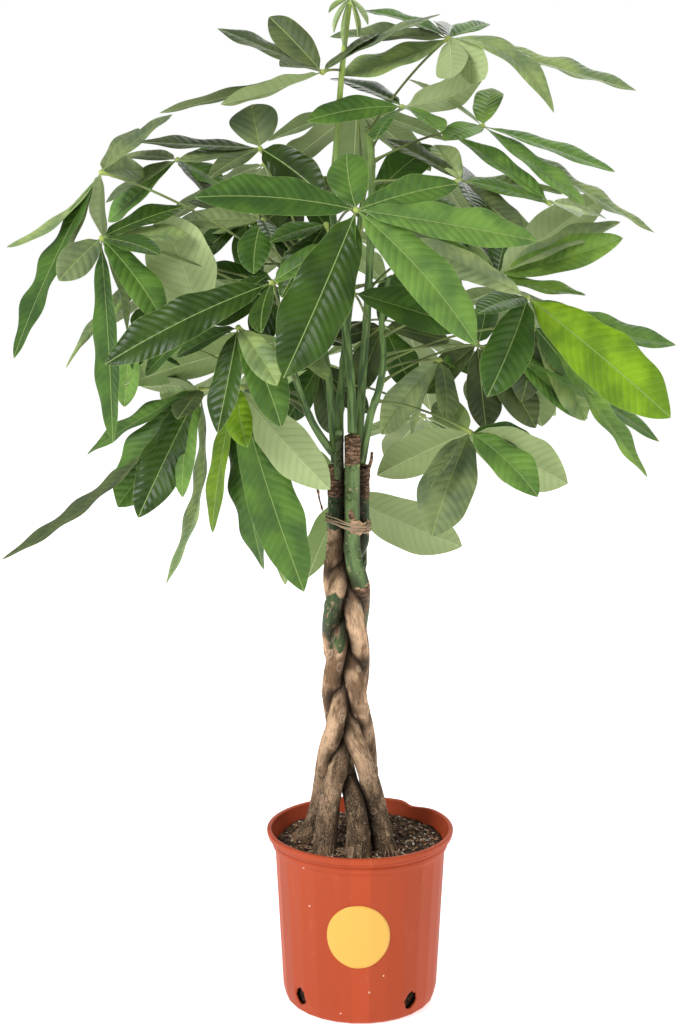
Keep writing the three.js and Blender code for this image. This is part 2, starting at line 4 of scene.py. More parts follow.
import bpy
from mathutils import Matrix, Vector


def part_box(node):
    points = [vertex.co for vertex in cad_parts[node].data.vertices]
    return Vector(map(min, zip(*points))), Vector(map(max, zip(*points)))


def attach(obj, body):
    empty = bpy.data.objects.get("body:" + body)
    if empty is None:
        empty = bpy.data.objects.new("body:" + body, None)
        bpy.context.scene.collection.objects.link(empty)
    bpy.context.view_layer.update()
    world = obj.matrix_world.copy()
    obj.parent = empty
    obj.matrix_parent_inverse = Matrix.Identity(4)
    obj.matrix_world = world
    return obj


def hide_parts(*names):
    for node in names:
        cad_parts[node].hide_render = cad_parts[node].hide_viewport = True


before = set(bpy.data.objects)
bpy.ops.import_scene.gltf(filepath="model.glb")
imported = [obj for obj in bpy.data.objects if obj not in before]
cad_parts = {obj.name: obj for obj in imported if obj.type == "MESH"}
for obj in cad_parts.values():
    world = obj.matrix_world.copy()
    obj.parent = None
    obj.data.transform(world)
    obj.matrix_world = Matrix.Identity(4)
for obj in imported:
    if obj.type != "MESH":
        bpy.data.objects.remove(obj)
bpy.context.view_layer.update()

# Camera
# It stands in front of the plant at the height of its crown and looks slightly down,
# as the photograph was taken. Lengths in this file are metres unless MM is named.
MM = 0.001
CAMERA_PLACE = (-0.025, -2.4, 1.084)
CAMERA_DOWN = 11.23
CAMERA_LENS = 72.6

camera_data = bpy.data.cameras.new("camera")
camera_data.lens = CAMERA_LENS
camera = bpy.data.objects.new("camera", camera_data)
camera.location = CAMERA_PLACE
camera.rotation_euler = (math.radians(90 - CAMERA_DOWN), 0, 0)
bpy.context.scene.collection.objects.link(camera)
bpy.context.scene.camera = camera

# Studio
# A plain white floor in an evenly white room, with one large soft light on the left in
# front of the plant, one on the right and one behind. The camera sees the room as white,
# while the plant gets less light from it than from the lamps.
ROOM_LIGHT = 0.42
ROOM_SEEN = 1.0
FLOOR_SIZE = 60
FLOOR_WHITE = 0.9
FLOOR_GLOW = 0.62
FLOOR_ROUGHNESS = 0.9
LIGHTS = {
    "key_light": {"place": (-2.5, -2.4, 2.8), "aim": (0, 0, 0.75), "size": 1.8, "watts": 125},
    "side_light": {"place": (2.8, -1.4, 1.7), "aim": (0, 0, 0.6), "size": 1.6, "watts": 20},
    "back_light": {"place": (0.8, 3.0, 2.8), "aim": (0, 0, 0.9), "size": 2.4, "watts": 50},
}

bpy.context.scene.view_settings.view_transform = "Standard"
world = bpy.data.worlds.new("white_room")
world.use_nodes = True
background = world.node_tree.nodes["Background"]
background.inputs["Color"].default_value = (1, 1, 1, 1)
seen = world.node_tree.nodes.new("ShaderNodeLightPath").outputs["Is Camera Ray"]
strength = world.node_tree.nodes.new("ShaderNodeMapRange")
strength.inputs["To Min"].default_value = ROOM_LIGHT
strength.inputs["To Max"].default_value = ROOM_SEEN
world.node_tree.links.new(seen, strength.inputs["Value"])
world.node_tree.links.new(strength.outputs["Result"], background.inputs["Strength"])
bpy.context.scene.world = world

for name, light in LIGHTS.items():
    data = bpy.data.lights.new(name, "AREA")
    data.energy = light["watts"]
    data.size = light["size"]
    lamp = bpy.data.objects.new(name, data)
    lamp.location = light["place"]
    aim = Vector(light["aim"]) - Vector(light["place"])
    lamp.rotation_euler = aim.to_track_quat("-Z", "Y").to_euler()
    bpy.context.scene.collection.objects.link(lamp)


def new_object(name, mesh):
    """Puts a mesh into the scene as an object at the origin."""
    made = bpy.data.objects.new(name, mesh)
    bpy.context.scene.collection.objects.link(made)
    return made


def mesh_of(name, points, faces, material, smooth=True):
    """A mesh from its points and faces, with one material and smooth or flat shading."""
    mesh = bpy.data.meshes.new(name)
    mesh.from_pydata([tuple(p) for p in points], [], faces)
    mesh.materials.append(material)
    mesh.polygons.foreach_set("use_smooth", [smooth] * len(mesh.polygons))
    mesh.update()
    return mesh


def modelled(name, points, faces, material, smooth=True):
    """A new object made from points and faces."""
    return new_object(name, mesh_of(name, points, faces, material, smooth))


def new_material(name, colour, roughness, shine=0.5):
    """A plain material, with its node tree and its shader node."""
    material = bpy.data.materials.new(name)
    material.use_nodes = True
    shader = material.node_tree.nodes["Principled BSDF"]
    shader.inputs["Base Color"].default_value = (*colour, 1)
    shader.inputs["Roughness"].default_value = roughness
    shader.inputs["Specular IOR Level"].default_value = shine
    return material, material.node_tree, shader


floor_material, _, shader = new_material("studio_floor", (FLOOR_WHITE,) * 3, FLOOR_ROUGHNESS)
shader.inputs["Emission Color"].default_value = (1, 1, 1, 1)
shader.inputs["Emission Strength"].default_value = FLOOR_GLOW
floor_corners = [(x * FLOOR_SIZE / 2, y * FLOOR_SIZE / 2, 0) for x, y in ((-1, -1), (1, -1), (1, 1), (-1, 1))]
floor = modelled("studio_floor", floor_corners, [(0, 1, 2, 3)], floor_material, smooth=False)

# Pot
# A thin-walled nursery pot, blow-moulded in terracotta-coloured plastic. Its wall is a
# ring of flat upright panels under a step ring and a rolled lip, dented at the back,
# and four drain holes were punched through it just above the foot.
_, pot_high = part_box("pot")
POT_HEIGHT = pot_high.z / MM
RIM_RADIUS = pot_high.x / MM
POT_PANELS = 28
POT_TURNS = POT_PANELS * 8
PANEL_TURN = 0.5
# How much each flat panel's painted reflection lightens or darkens it, and the seed of its draw
PANEL_REFLECTION_SPREAD = 0.1
PANEL_REFLECTION_SEED = 4.0
PANEL_FADE = 8
WALL_STEP = 9
BODY_TOP_RADIUS = 103.5
BODY_LOW_RADIUS = 94.5
BODY_LOW_HEIGHT = 18
FOOT_RADIUS = 86
STEP_RADIUS = 107
STEP_LEVEL = POT_HEIGHT - 22
LIP_LEVEL = POT_HEIGHT - 14
POT_WALL = 2.2
POT_FLOOR = 3
DENT_ANGLE = 53
DENT_SPREAD = 9
DENT_STEEP_SIDE = 0.55
DENT_SHALLOW_SIDE = 1.35
DENT_DEPTH = 4
DENT_STEP_IN = 2
DENT_FADE = 4
HOLE_WIDTH = 18
HOLE_HEIGHT = 22
HOLE_LEVEL = 24
HOLE_ANGLES = (-140, -50, 40, 130)
HOLE_POINTS = 18
HOLE_RAGGED = (0.9, 1.2)
PUNCH_REACH = 12
POT_COLOUR = (0.425, 0.061, 0.018)
POT_SCUFF = (0.48, 0.095, 0.040)
POT_ROUGHNESS = 0.5
POT_SHINE = 0.16
# Dried splashes of pale compost on the front, by their places across and up in millimetres
SPLASHES = ((-67, 195), (28, 65), (11, 45), (-23, 16), (-60, 148))
SPLASH_RADIUS = 1.3
SPLASH_COLOUR = (0.72, 0.50, 0.38)


class Wire:
    """An output in a node tree. Arithmetic on it adds the nodes that work it out."""

    def __init__(self, socket):
        self.socket = socket
        self.tree = socket.id_data

    def apply(self, operation, *others):
        """Works out an operation of a math node, or of a vector math node where a vector is in it."""
        vector = operation in ("CROSS_PRODUCT", "DOT_PRODUCT", "LENGTH", "NORMALIZE")
        vector = vector or any(is_vector(value) for value in (self, *others))
        node = self.tree.nodes.new("ShaderNodeVectorMath" if vector else "ShaderNodeMath")
        node.operation = operation
        for socket, value in zip(node.inputs, (self, *others)):
            feed(socket, value)
        return Wire(node.outputs["Value" if operation in ("DOT_PRODUCT", "LENGTH") else 0])

    def __rsub__(self, other):
        return (self * -1) + other


# The arithmetic that a Wire takes, by its name in Python and in a math node
OPERATIONS = {
    "__add__": "ADD", "__radd__": "ADD", "__sub__": "SUBTRACT", "__mul__": "MULTIPLY", "__rmul__": "MULTIPLY",
    "__truediv__": "DIVIDE", "__pow__": "POWER", "__abs__": "ABSOLUTE"}
for method, operation in OPERATIONS.items():
    setattr(Wire, method, lambda self, *others, operation=operation: self.apply(operation, *others))


def clamp(value, low, high):
    """The value, kept between two limits."""
    return min(max(value, low), high)


def is_vector(value):
    """Whether a value is a triple, or the output of a vector or a colour."""
    if isinstance(value, Wire):
        return value.socket.type in ("VECTOR", "RGBA")
    return hasattr(value, "__len__")


def feed(socket, value):
    """Gives a node's input a value or another node's output."""
    if isinstance(value, Wire):
        value.tree.links.new(value.socket, socket)
    elif socket.type == "RGBA" and len(value) == 3:
        socket.default_value = (*value, 1)
    elif socket.type == "VECTOR" and not hasattr(value, "__len__"):
        socket.default_value = (value,) * 3
    else:
        socket.default_value = value


def wire(tree, kind, inputs=None, output=0, **settings):
    """Adds a node with these settings and inputs, and returns one of its outputs."""
    node = tree.nodes.new(kind)
    for name, value in settings.items():
        setattr(node, name, value)
    for key, value in (inputs or {}).items():
        feed(node.inputs[key], value)
    return Wire(node.outputs[output])


def ease(value, low, high):
    """Rises smoothly from 0 to 1 as the value goes from low to high."""
    return wire(value.tree, "ShaderNodeMapRange", {"Value": value, "From Min": low, "From Max": high},
                interpolation_type="SMOOTHSTEP")


def noise(place, scale, detail=2.0, stretch=(1, 1, 1)):
    """A solid pattern of clouds from 0 to 1, as many in a metre as its scale says."""
    return wire(place.tree, "ShaderNodeTexNoise", {
        "Vector": place * stretch, "Scale": scale, "Detail": detail})


def cells(place, scale):
    """How far a place is from the nearest of many scattered points."""
    return wire(place.tree, "ShaderNodeTexVoronoi", {"Vector": place, "Scale": scale})


def blend(factor, first, second):
    """The first colour where the factor is 0 and the second where it is 1."""
    tree = factor.tree
    node = tree.nodes.new("ShaderNodeMix")
    node.data_type = "RGBA"
    feed(node.inputs["Factor"], factor)
    sockets = {socket.identifier: socket for socket in node.inputs}
    feed(sockets["A_Color"], first)
    feed(sockets["B_Color"], second)
    return Wire(next(socket for socket in node.outputs if socket.identifier == "Result_Color"))


def object_place(tree):
    """The place on the piece, in metres in the object's frame."""
    return wire(tree, "ShaderNodeTexCoord", output="Object")


def finish(shader, colour, relief, depth, strength=1.0):
    """Colours a surface and raises it by a height pattern of this many metres."""
    raised = {"Height": relief, "Distance": depth, "Strength": strength}
    feed(shader.inputs["Base Color"], colour)
    feed(shader.inputs["Normal"], wire(relief.tree, "ShaderNodeBump", raised))


def rounded(outline, steps=4):
    """An outline of (radius, height, rounding) corners with each corner rounded."""
    line = []
    for i, (radius, height, soft) in enumerate(outline):
        corner = Vector((radius, height))
        if soft == 0:
            line.append(corner)
            continue
        start = corner + (Vector(outline[i - 1][:2]) - corner).normalized() * soft
        end = corner + (Vector(outline[i + 1][:2]) - corner).normalized() * soft
        for k in range(steps + 1):
            t = k / steps
            line.append(start * (1 - t) ** 2 + corner * 2 * t * (1 - t) + end * t * t)
    return line


def divided(line, longest):
    """The line with its long stretches divided, so that the wall can be shaped."""
    result = [line[0]]
    for a, b in zip(line, line[1:]):
        parts = max(1, round((b - a).length / longest))
        result += [a.lerp(b, k / parts) for k in range(1, parts + 1)]
    return result


def turned(line, turns, shape):
    """Points and faces of an outline turned round the Z axis.

    The outline goes from its bottom centre outwards and over the top.
    """
    points, rows = [], []
    for radius, height in line:
        count = 1 if radius < 1e-6 else turns
        rows.append([len(points) + (k % count) for k in range(turns)])
        for k in range(count):
            angle = 2 * math.pi * k / turns
            points.append(shape(radius, height, angle))
    faces = []
    for low, high in zip(rows, rows[1:]):
        for k in range(turns):
            corners = (low[k], low[(k + 1) % turns], high[(k + 1) % turns], high[k])
            faces.append(tuple(dict.fromkeys(corners)))
    return points, faces


def level_way(angle):
    """The level direction at an angle from the right, counted towards the back."""
    return Vector((math.cos(angle), math.sin(angle), 0))


def pot_wall_point(radius, height, angle):
    """A point of the pot in metres: flat panels on the body, and the dent in the rim."""
    share = clamp((STEP_LEVEL - height) / PANEL_FADE, 0, 1)
    off = (angle / (2 * math.pi) * POT_PANELS + PANEL_TURN) % 1 - 0.5
    flat = math.cos(math.pi / POT_PANELS) / math.cos(2 * math.pi / POT_PANELS * off)
    radius *= 1 + share * (flat - 1)
    bearing = (math.degrees(angle) - DENT_ANGLE + 180) % 360 - 180
    spread = DENT_SPREAD * (DENT_STEEP_SIDE if bearing > 0 else DENT_SHALLOW_SIDE)
    level = clamp((height - BODY_LOW_HEIGHT) / (POT_HEIGHT - BODY_LOW_HEIGHT), 0, 1)
    dent = math.exp(-(bearing / spread) ** 2) * level ** DENT_FADE
    radius -= DENT_STEP_IN * dent
    return (radius * math.cos(angle) * MM, radius * math.sin(angle) * MM, (height - DENT_DEPTH * dent) * MM)


pot_outline = rounded([
    (0, 0, 0), (FOOT_RADIUS, 0, 2), (FOOT_RADIUS + 5, 4, 2.5), (BODY_LOW_RADIUS, BODY_LOW_HEIGHT, 6),
    (BODY_TOP_RADIUS, STEP_LEVEL - 1, 1.2), (STEP_RADIUS - 0.6, STEP_LEVEL + 1, 1.2),
    (STEP_RADIUS, LIP_LEVEL - 2, 1.5), (STEP_RADIUS - 1.2, LIP_LEVEL + 0.5, 0.8),
    (RIM_RADIUS - 2.4, LIP_LEVEL + 3.4, 2.4), (RIM_RADIUS - 0.4, POT_HEIGHT - 6, 3),
    (RIM_RADIUS, POT_HEIGHT, 2.2), (RIM_RADIUS - 5.6, POT_HEIGHT, 2), (RIM_RADIUS - 7, POT_HEIGHT - 6, 2.5),
    (BODY_TOP_RADIUS - POT_WALL, STEP_LEVEL, 3), (BODY_LOW_RADIUS - POT_WALL, BODY_LOW_HEIGHT, 5),
    (FOOT_RADIUS, POT_FLOOR, 3), (0, POT_FLOOR, 0)])

pot_material, tree, shader = new_material("pot_plastic", POT_COLOUR, POT_ROUGHNESS, POT_SHINE)
place = object_place(tree)
clouds = noise(place, 18, 3, (1, 1, 0.25))
scuffs = ease(noise(place, 120, 4, (1, 1, 0.3)), 0.58, 0.75) * 0.55
colour = blend(clouds * 0.35 + scuffs, POT_COLOUR, POT_SCUFF)
spot = wire(tree, "ShaderNodeSeparateXYZ", {0: place})
bearing = Wire(spot.socket.node.outputs["Y"]).apply("ARCTAN2", spot)
panel = (bearing * (POT_PANELS / (2 * math.pi)) + PANEL_TURN).apply("FLOOR")
panel = panel.apply("FLOORED_MODULO", POT_PANELS)
# Painted reflection: each flat panel is made a little lighter or darker at random, as panels catch the
# studio's light differently
painted_panel_reflection = wire(tree, "ShaderNodeTexWhiteNoise", {"W": panel + PANEL_REFLECTION_SEED}, noise_dimensions="1D")
colour = colour * (1 - PANEL_REFLECTION_SPREAD + painted_panel_reflection * 2 * PANEL_REFLECTION_SPREAD)
on_front = (place + noise(place, 600, 2) * 0.0012) * (1, 0, 1)
in_front = ease(place.apply("DOT_PRODUCT", (0, -1, 0)), 0.04, 0.06)
for across, up in SPLASHES:
    off = (on_front - (across * MM, 0, up * MM)).apply("LENGTH")
    splash = 1 - ease(off, 0.7 * SPLASH_RADIUS * MM, SPLASH_RADIUS * MM)
    colour = blend(splash * in_front, colour, SPLASH_COLOUR)
finish(shader, colour, noise(place, 900, 2), 0.00012, 0.5)

pot_shell = modelled(
    "pot_shell", *turned(divided(pot_outline, WALL_STEP), POT_TURNS, pot_wall_point), pot_material)


def hole_punch(bearing, draw):
    """A ragged upright oval rod through the wall, which cuts a drain hole."""
    out = level_way(bearing)
    side = Vector((-out.y, out.x, 0))
    outline = []
    for k in range(HOLE_POINTS):
        turn = 2 * math.pi * k / HOLE_POINTS
        ragged = draw.uniform(*HOLE_RAGGED)
        outline.append((HOLE_WIDTH / 2 * math.cos(turn) * ragged, HOLE_HEIGHT / 2 * math.sin(turn) * ragged))
    points = [(out * (BODY_LOW_RADIUS + reach) + side * x + Vector((0, 0, HOLE_LEVEL + z))) * MM
              for reach in (-PUNCH_REACH, PUNCH_REACH) for x, z in outline]
    n = HOLE_POINTS
    faces = [(k, (k + 1) % n, n + (k + 1) % n, n + k) for k in range(n)]
    faces += [tuple(reversed(range(n))), tuple(range(n, 2 * n))]
    return points, faces


draw = random.Random(7)
punches = [modelled("hole_punch", *hole_punch(math.radians(angle), draw), pot_material)
           for angle in HOLE_ANGLES]
for punch in punches:
    cut = pot_shell.modifiers.new("drain_hole", "BOOLEAN")
    cut.operation = "DIFFERENCE"
    cut.object = punch
    cut.solver = "EXACT"


def applied(made):
    """Turns an object's modifiers into its plain mesh."""
    view = bpy.context.evaluated_depsgraph_get()
    mesh = bpy.data.meshes.new_from_object(
        made.evaluated_get(view), preserve_all_data_layers=True, depsgraph=view)
    made.modifiers.clear()
    made.data = mesh
    return made


applied(pot_shell)
for punch in punches:
    bpy.data.objects.remove(punch)
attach(pot_shell, "root")
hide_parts("pot")

# Label
# A plain round disc of yellow paper, stuck to the front of the pot and bent round its wall.
label_low, label_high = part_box("label")
LABEL_RADIUS = (label_high.z - label_low.z) / 2 / MM
LABEL_RAISE = 2
LABEL_WIDE = 1.02
LABEL_TALL = 1.07
LABEL_Z = (label_high.z + label_low.z) / 2 / MM + LABEL_RAISE
LABEL_X = (label_high.x + label_low.x) / 2 / MM
LABEL_LIFT = 0.35
LABEL_THICK = 0.4
LABEL_TURNS = 72
LABEL_RINGS = 12
LABEL_COLOUR = (0.80, 0.44, 0.070)
LABEL_ROUGHNESS = 0.42

label_material, tree, shader = new_material("label_paper", LABEL_COLOUR, LABEL_ROUGHNESS)
finish(shader, LABEL_COLOUR, noise(object_place(tree), 700, 3), 0.00006, 0.4)
slope = (BODY_TOP_RADIUS - BODY_LOW_RADIUS) / (STEP_LEVEL - BODY_LOW_HEIGHT)


def label_point(reach, lift, turn):
    """A point of the label, laid on the wall of the pot and lifted off it."""
    height = LABEL_Z + reach * LABEL_TALL * math.sin(turn)
    radius = BODY_LOW_RADIUS + slope * (height - BODY_LOW_HEIGHT)
    angle = (LABEL_X + reach * LABEL_WIDE * math.cos(turn)) / radius - math.pi / 2
    return Vector(pot_wall_point(radius, height, angle)) + level_way(angle) * (LABEL_LIFT + lift) * MM


reaches = [LABEL_RADIUS * ring / LABEL_RINGS for ring in range(LABEL_RINGS + 1)]
line = [(reach, 0) for reach in reaches] + [(reach, LABEL_THICK) for reach in reversed(reaches)]
label_disc = modelled("label_disc", *turned(line, LABEL_TURNS, label_point), label_material)
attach(label_disc, "root")
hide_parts("label")

# Soil
# Dark peat and composted bark that fills the pot, uneven on top. The part that the
# drain holes show is the same mix, pressed against the wall.
_, soil_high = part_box("soil")
SOIL_LEVEL = soil_high.z / MM
SOIL_TURNS = 120
SOIL_RINGS = 44
SOIL_STEP = 12
SOIL_RELIEF = 2.2
SOIL_SLACK = 0.8
SOIL_GAP = 4
SOIL_DARK = (0.020, 0.011, 0.007)
SOIL_BROWN = (0.115, 0.062, 0.032)
SOIL_SHINE = 0.2
SOIL_ROUGHNESS = 0.95
SOIL_DROP = 1.2
SINK_DEPTH = 3
SINK_START = 70
SINK_WIDTH = 30
# Waves of the soil's surface: how fast each one runs to the right and back, and its start
SOIL_WAVES = ((0.11, 0.05, 0.3), (-0.06, 0.13, 1.9), (0.21, -0.17, 4.0), (-0.31, -0.24, 2.2),
              (0.43, 0.39, 0.8))


def lumps(x, y):
    """Gentle unevenness of the soil, from a few crossing waves, between about -1 and 1."""
    return sum(math.sin(a * x + b * y + c) / (1 + i * 0.5) for i, (a, b, c) in enumerate(SOIL_WAVES)) / 2.3


def soil_top(reach, angle):
    """A point of the soil's uneven surface, which drops a little towards the wall."""
    x, y = reach * math.cos(angle), reach * math.sin(angle)
    sink = SINK_DEPTH * max(0, (reach - SINK_START) / SINK_WIDTH) ** 2
    return (x * MM, y * MM, (SOIL_LEVEL - SOIL_DROP - sink + SOIL_RELIEF * lumps(x, y)) * MM)


low_radius = BODY_LOW_RADIUS - POT_WALL - SOIL_SLACK
soil_radius = BODY_TOP_RADIUS - POT_WALL - SOIL_SLACK
line = divided([Vector(p) for p in (
    (0, POT_FLOOR + 0.5), (FOOT_RADIUS - SOIL_GAP, POT_FLOOR + 0.5), (low_radius - SOIL_GAP, BODY_LOW_HEIGHT),
    (low_radius - SOIL_GAP, HOLE_LEVEL + HOLE_HEIGHT), (low_radius + slope * 50, BODY_LOW_HEIGHT + 50),
    (soil_radius, SOIL_LEVEL - 8))], SOIL_STEP)
line += [Vector((soil_radius * (1 - k / SOIL_RINGS), SOIL_LEVEL)) for k in range(SOIL_RINGS + 1)]


def soil_point(radius, height, angle):
    """A point of the soil in metres: its uneven top, or its side along the wall."""
    if height >= SOIL_LEVEL:
        return soil_top(radius, angle)
    x, y, _ = pot_wall_point(radius, height, angle)
    return (x, y, height * MM)


soil_material, tree, shader = new_material("soil_mix", SOIL_DARK, SOIL_ROUGHNESS, SOIL_SHINE)
place = object_place(tree)
colour = blend(ease(noise(place, 150, 5), 0.4, 0.7), SOIL_DARK, SOIL_BROWN)
finish(shader, colour, cells(place, 260.0) + noise(place, 500, 4), 0.0022)
soil_bed = modelled("soil_bed", *turned(line, SOIL_TURNS, soil_point), soil_material)
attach(soil_bed, "root")
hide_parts("soil")

# Grains on the soil
# White perlite, tan bits of bark and dark crumbs lie scattered over the soil, half sunk
# in it. A nodes tree strews one kind of grain over the soil's surface at random.
GRAIN_AREA_RADIUS = 97
GRAIN_ROUGHNESS = 0.85
GRAIN_KNOBBLE = 0.9
GRAIN_TURNS = ((-0.5, -0.5, 0), (0.5, 0.5, 6.28))
GRAIN_SHAPES = ((0.75, 0.5, 0.8), (1.3, 0.9, 1))
GRAINS = {
    "perlite_grains": {"count": 330, "size": (1.4, 4.4), "flat": 0.85, "seed": 3,
                       "colour": (0.62, 0.57, 0.47), "dark": (0.42, 0.36, 0.26)},
    "bark_bits": {"count": 460, "size": (2.0, 7.0), "flat": 0.4, "seed": 5,
                  "colour": (0.33, 0.185, 0.09), "dark": (0.10, 0.052, 0.024)},
    "soil_crumbs": {"count": 1500, "size": (1.4, 5.0), "flat": 0.75, "seed": 9,
                    "colour": (0.115, 0.060, 0.030), "dark": SOIL_DARK},
}


def new_tree(name, inputs):
    """An empty Geometry Nodes tree, with its geometry input and these named inputs."""
    tree = bpy.data.node_groups.new(name, "GeometryNodeTree")
    tree.interface.new_socket("Geometry", in_out="INPUT", socket_type="NodeSocketGeometry")
    for label, kind in inputs.items():
        tree.interface.new_socket(label, in_out="INPUT", socket_type="NodeSocket" + kind)
    tree.interface.new_socket("Geometry", in_out="OUTPUT", socket_type="NodeSocketGeometry")
    entry = tree.nodes.new("NodeGroupInput")
    return tree, {socket.name: Wire(socket) for socket in entry.outputs if socket.name}


def close_tree(tree, geometry, material):
    """Ends a tree: its instances made real, its material set."""
    real = wire(tree, "GeometryNodeRealizeInstances", {"Geometry": geometry})
    painted = wire(tree, "GeometryNodeSetMaterial", {"Geometry": real, "Material": material})
    feed(tree.nodes.new("NodeGroupOutput").inputs[0], painted)


def grown(name, mesh, tree, values):
    """A new object: the mesh that the nodes tree makes from a starting mesh."""
    made = new_object(name, mesh)
    modifier = made.modifiers.new("nodes", "NODES")
    modifier.node_group = tree
    for item in tree.interface.items_tree:
        if item.in_out == "INPUT" and item.name in values:
            modifier[item.identifier] = values[item.name]
    return applied(made)


tree, given = new_tree("strewn_grains", {
    "Count": "Int", "Smallest": "Float", "Largest": "Float", "Flatness": "Float", "Seed": "Int",
    "Material": "Material"})
scattered = tree.nodes.new("GeometryNodeDistributePointsOnFaces")
feed(scattered.inputs["Mesh"], given["Geometry"])
feed(scattered.inputs["Density"], given["Count"] / (math.pi * (GRAIN_AREA_RADIUS * MM) ** 2))
feed(scattered.inputs["Seed"], given["Seed"])
grain = wire(tree, "GeometryNodeMeshIcoSphere", {"Radius": 0.5, "Subdivisions": 2})
where = wire(tree, "GeometryNodeInputPosition")
shaken = wire(tree, "ShaderNodeTexNoise", {"Vector": where, "Scale": 2.1, "Detail": 1.0}, output=1)
grain = wire(tree, "GeometryNodeSetPosition", {
    "Geometry": grain, "Offset": (shaken - (0.5, 0.5, 0.5)) * GRAIN_KNOBBLE})
turn, shape = (wire(tree, "FunctionNodeRandomValue", {"Min": low, "Max": high, "Seed": given["Seed"]},
                    data_type="FLOAT_VECTOR") for low, high in (GRAIN_TURNS, GRAIN_SHAPES))
size = wire(tree, "FunctionNodeRandomValue", {
    2: given["Smallest"], 3: given["Largest"], "Seed": given["Seed"]}, output=1, data_type="FLOAT")
thin = wire(tree, "ShaderNodeCombineXYZ", {"X": 1.0, "Y": 1.0, "Z": given["Flatness"]})
strewn = wire(tree, "GeometryNodeInstanceOnPoints", {
    "Points": Wire(scattered.outputs["Points"]), "Instance": grain, "Rotation": turn,
    "Scale": shape * thin * size})
close_tree(tree, strewn, given["Material"])
grain_tree = tree


def soil_patch():
    """The soil's top surface alone, inside the rim."""
    n = SOIL_TURNS
    rings = [GRAIN_AREA_RADIUS * k / SOIL_RINGS for k in range(SOIL_RINGS + 1)]
    points = [soil_top(reach, 2 * math.pi * k / n) for reach in rings for k in range(n)]
    faces = [(i * n + k, (i + 1) * n + k, (i + 1) * n + (k + 1) % n, i * n + (k + 1) % n)
             for i in range(SOIL_RINGS) for k in range(n)]
    return points, faces


for name, kind in GRAINS.items():
    grain_material, tree, shader = new_material(name, kind["colour"], GRAIN_ROUGHNESS)
    spots = ease(noise(object_place(tree), 240, 1), 0.42, 0.6)
    feed(shader.inputs["Base Color"], blend(spots, kind["colour"], kind["dark"]))
    strewn = grown(name, mesh_of("soil_patch", *soil_patch(), grain_material), grain_tree, {
        "Count": kind["count"], "Smallest": kind["size"][0] * MM, "Largest": kind["size"][1] * MM,
        "Flatness": kind["flat"], "Seed": kind["seed"], "Material": grain_material})
    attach(strewn, "root")
    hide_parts("soil")

# Braided stems
# Five young trunks, planted in a ring and plaited while they were soft. They are woody
# and grey-brown below, and still green with ringed leaf scars at their cut tops.
BRAID_X = -17
BRAID_Y = -10
BRAID_SWING = 17.5
BRAID_DEPTH = 23
BRAID_LENGTH = 390
BRAID_END = 520
UPRIGHT_START = 580
STEM_RADIUS = 11
STEM_TOP_RADIUS = 9
STEM_BOTTOM = 160
STEM_RING = 2.0
STEM_SIDES = 40
CUT_ROUNDING = 2.0
RISE_POWER = 0.6
TAPER_LENGTH = 80
SWELLING = 0.035
SWELLING_SPACING = 17
SWELLING_END = 560
SWELLING_FADE = 100
SCAR_SWELLING = 0.35
SCAR_SOFT = 3
GREEN_SOFT = 8
STEM_PATTERN_SHIFT = 0.35
STEMS = {
    "trunk_back_left": {"crossing": 370, "leaving": 340, "spread": 0.9, "foot": (30, -44), "foot_radius": 15,
                        "top": (-25, 12), "height": 660, "green": [(575, 660, 1), (462, 518, 0.62)],
                        "scars": [(600, 612, 1), (640, 652, 1)]},
    "trunk_left": {"crossing": 448, "leaving": 375, "spread": 0.9, "foot": (28, 18), "foot_radius": 14,
                   "top": (-30, -9), "height": 668, "green": [(592, 632, 1)], "scars": [(630, 668, 1)]},
    "trunk_centre": {"crossing": 604, "leaving": 350, "spread": 0.65, "foot": (-65, 0), "foot_radius": 15,
                     "top": (-10, -22), "height": 705, "green": [(530, 671, 1), (449, 514, 0.5)],
                     "scars": [(516, 528, 1), (671, 705, 1)]},
    "trunk_back_right": {"crossing": 292, "leaving": 285, "spread": 0.9, "foot": (-3, -58), "foot_radius": 17,
                         "top": (-3, 15), "height": 674, "green": [(540, 674, 1), (446, 482, 0.62)],
                         "scars": [(640, 660, 1)]},
    "trunk_right": {"crossing": 526, "leaving": 312, "spread": 0.9, "foot": (-43, -47), "foot_radius": 16,
                    "top": (1, -5), "height": 667, "green": [(548, 628, 1)], "scars": [(628, 667, 1)]},
}
# Near the stems' tops stand a green stub and two dry buds, and a dry leaf stalk hangs at the
# left. Each is its path in millimetres, its radius at both ends and whether it is dry.
SPURS = {
    "trunk_left": [
        {"path": [(-28, -13, 648), (-26.5, -17, 668), (-25.5, -18, 690), (-25.5, -18, 711)],
         "radii": (5.4, 5.2), "dry": 0},
        {"path": [(-36, -14, 645), (-44, -17, 643), (-50, -17, 646), (-49, -16, 630), (-45, -14, 613)],
         "radii": (1.4, 0.9), "dry": 1}],
    "trunk_centre": [
        {"path": [(-10, -27, 607), (-11, -32, 610), (-12, -35, 616)], "radii": (4.6, 2.6), "dry": 1}],
    "trunk_right": [{"path": [(8, -8, 660), (12, -12, 672), (13, -13, 683)], "radii": (2.4, 1.5), "dry": 1}],
}
BARK_TAN = (0.700, 0.462, 0.285)
BARK_BROWN = (0.190, 0.112, 0.060)
BARK_GREY = (0.070, 0.047, 0.027)
BARK_LOW = (0.225, 0.146, 0.082)
BARK_DARK = (0.022, 0.014, 0.008)
BARK_PALE = (0.55, 0.40, 0.26)
BARK_PINK = (0.40, 0.235, 0.150)
SKIN_GREEN = (0.034, 0.064, 0.026)
SKIN_LIGHT = (0.205, 0.310, 0.115)
SCAR_DARK = (0.055, 0.035, 0.023)
SCAR_RING = 5.0
BARK_DEPTH = 0.0011
BARK_GRAIN = 300.0
KNOT_DENSITY = 55.0
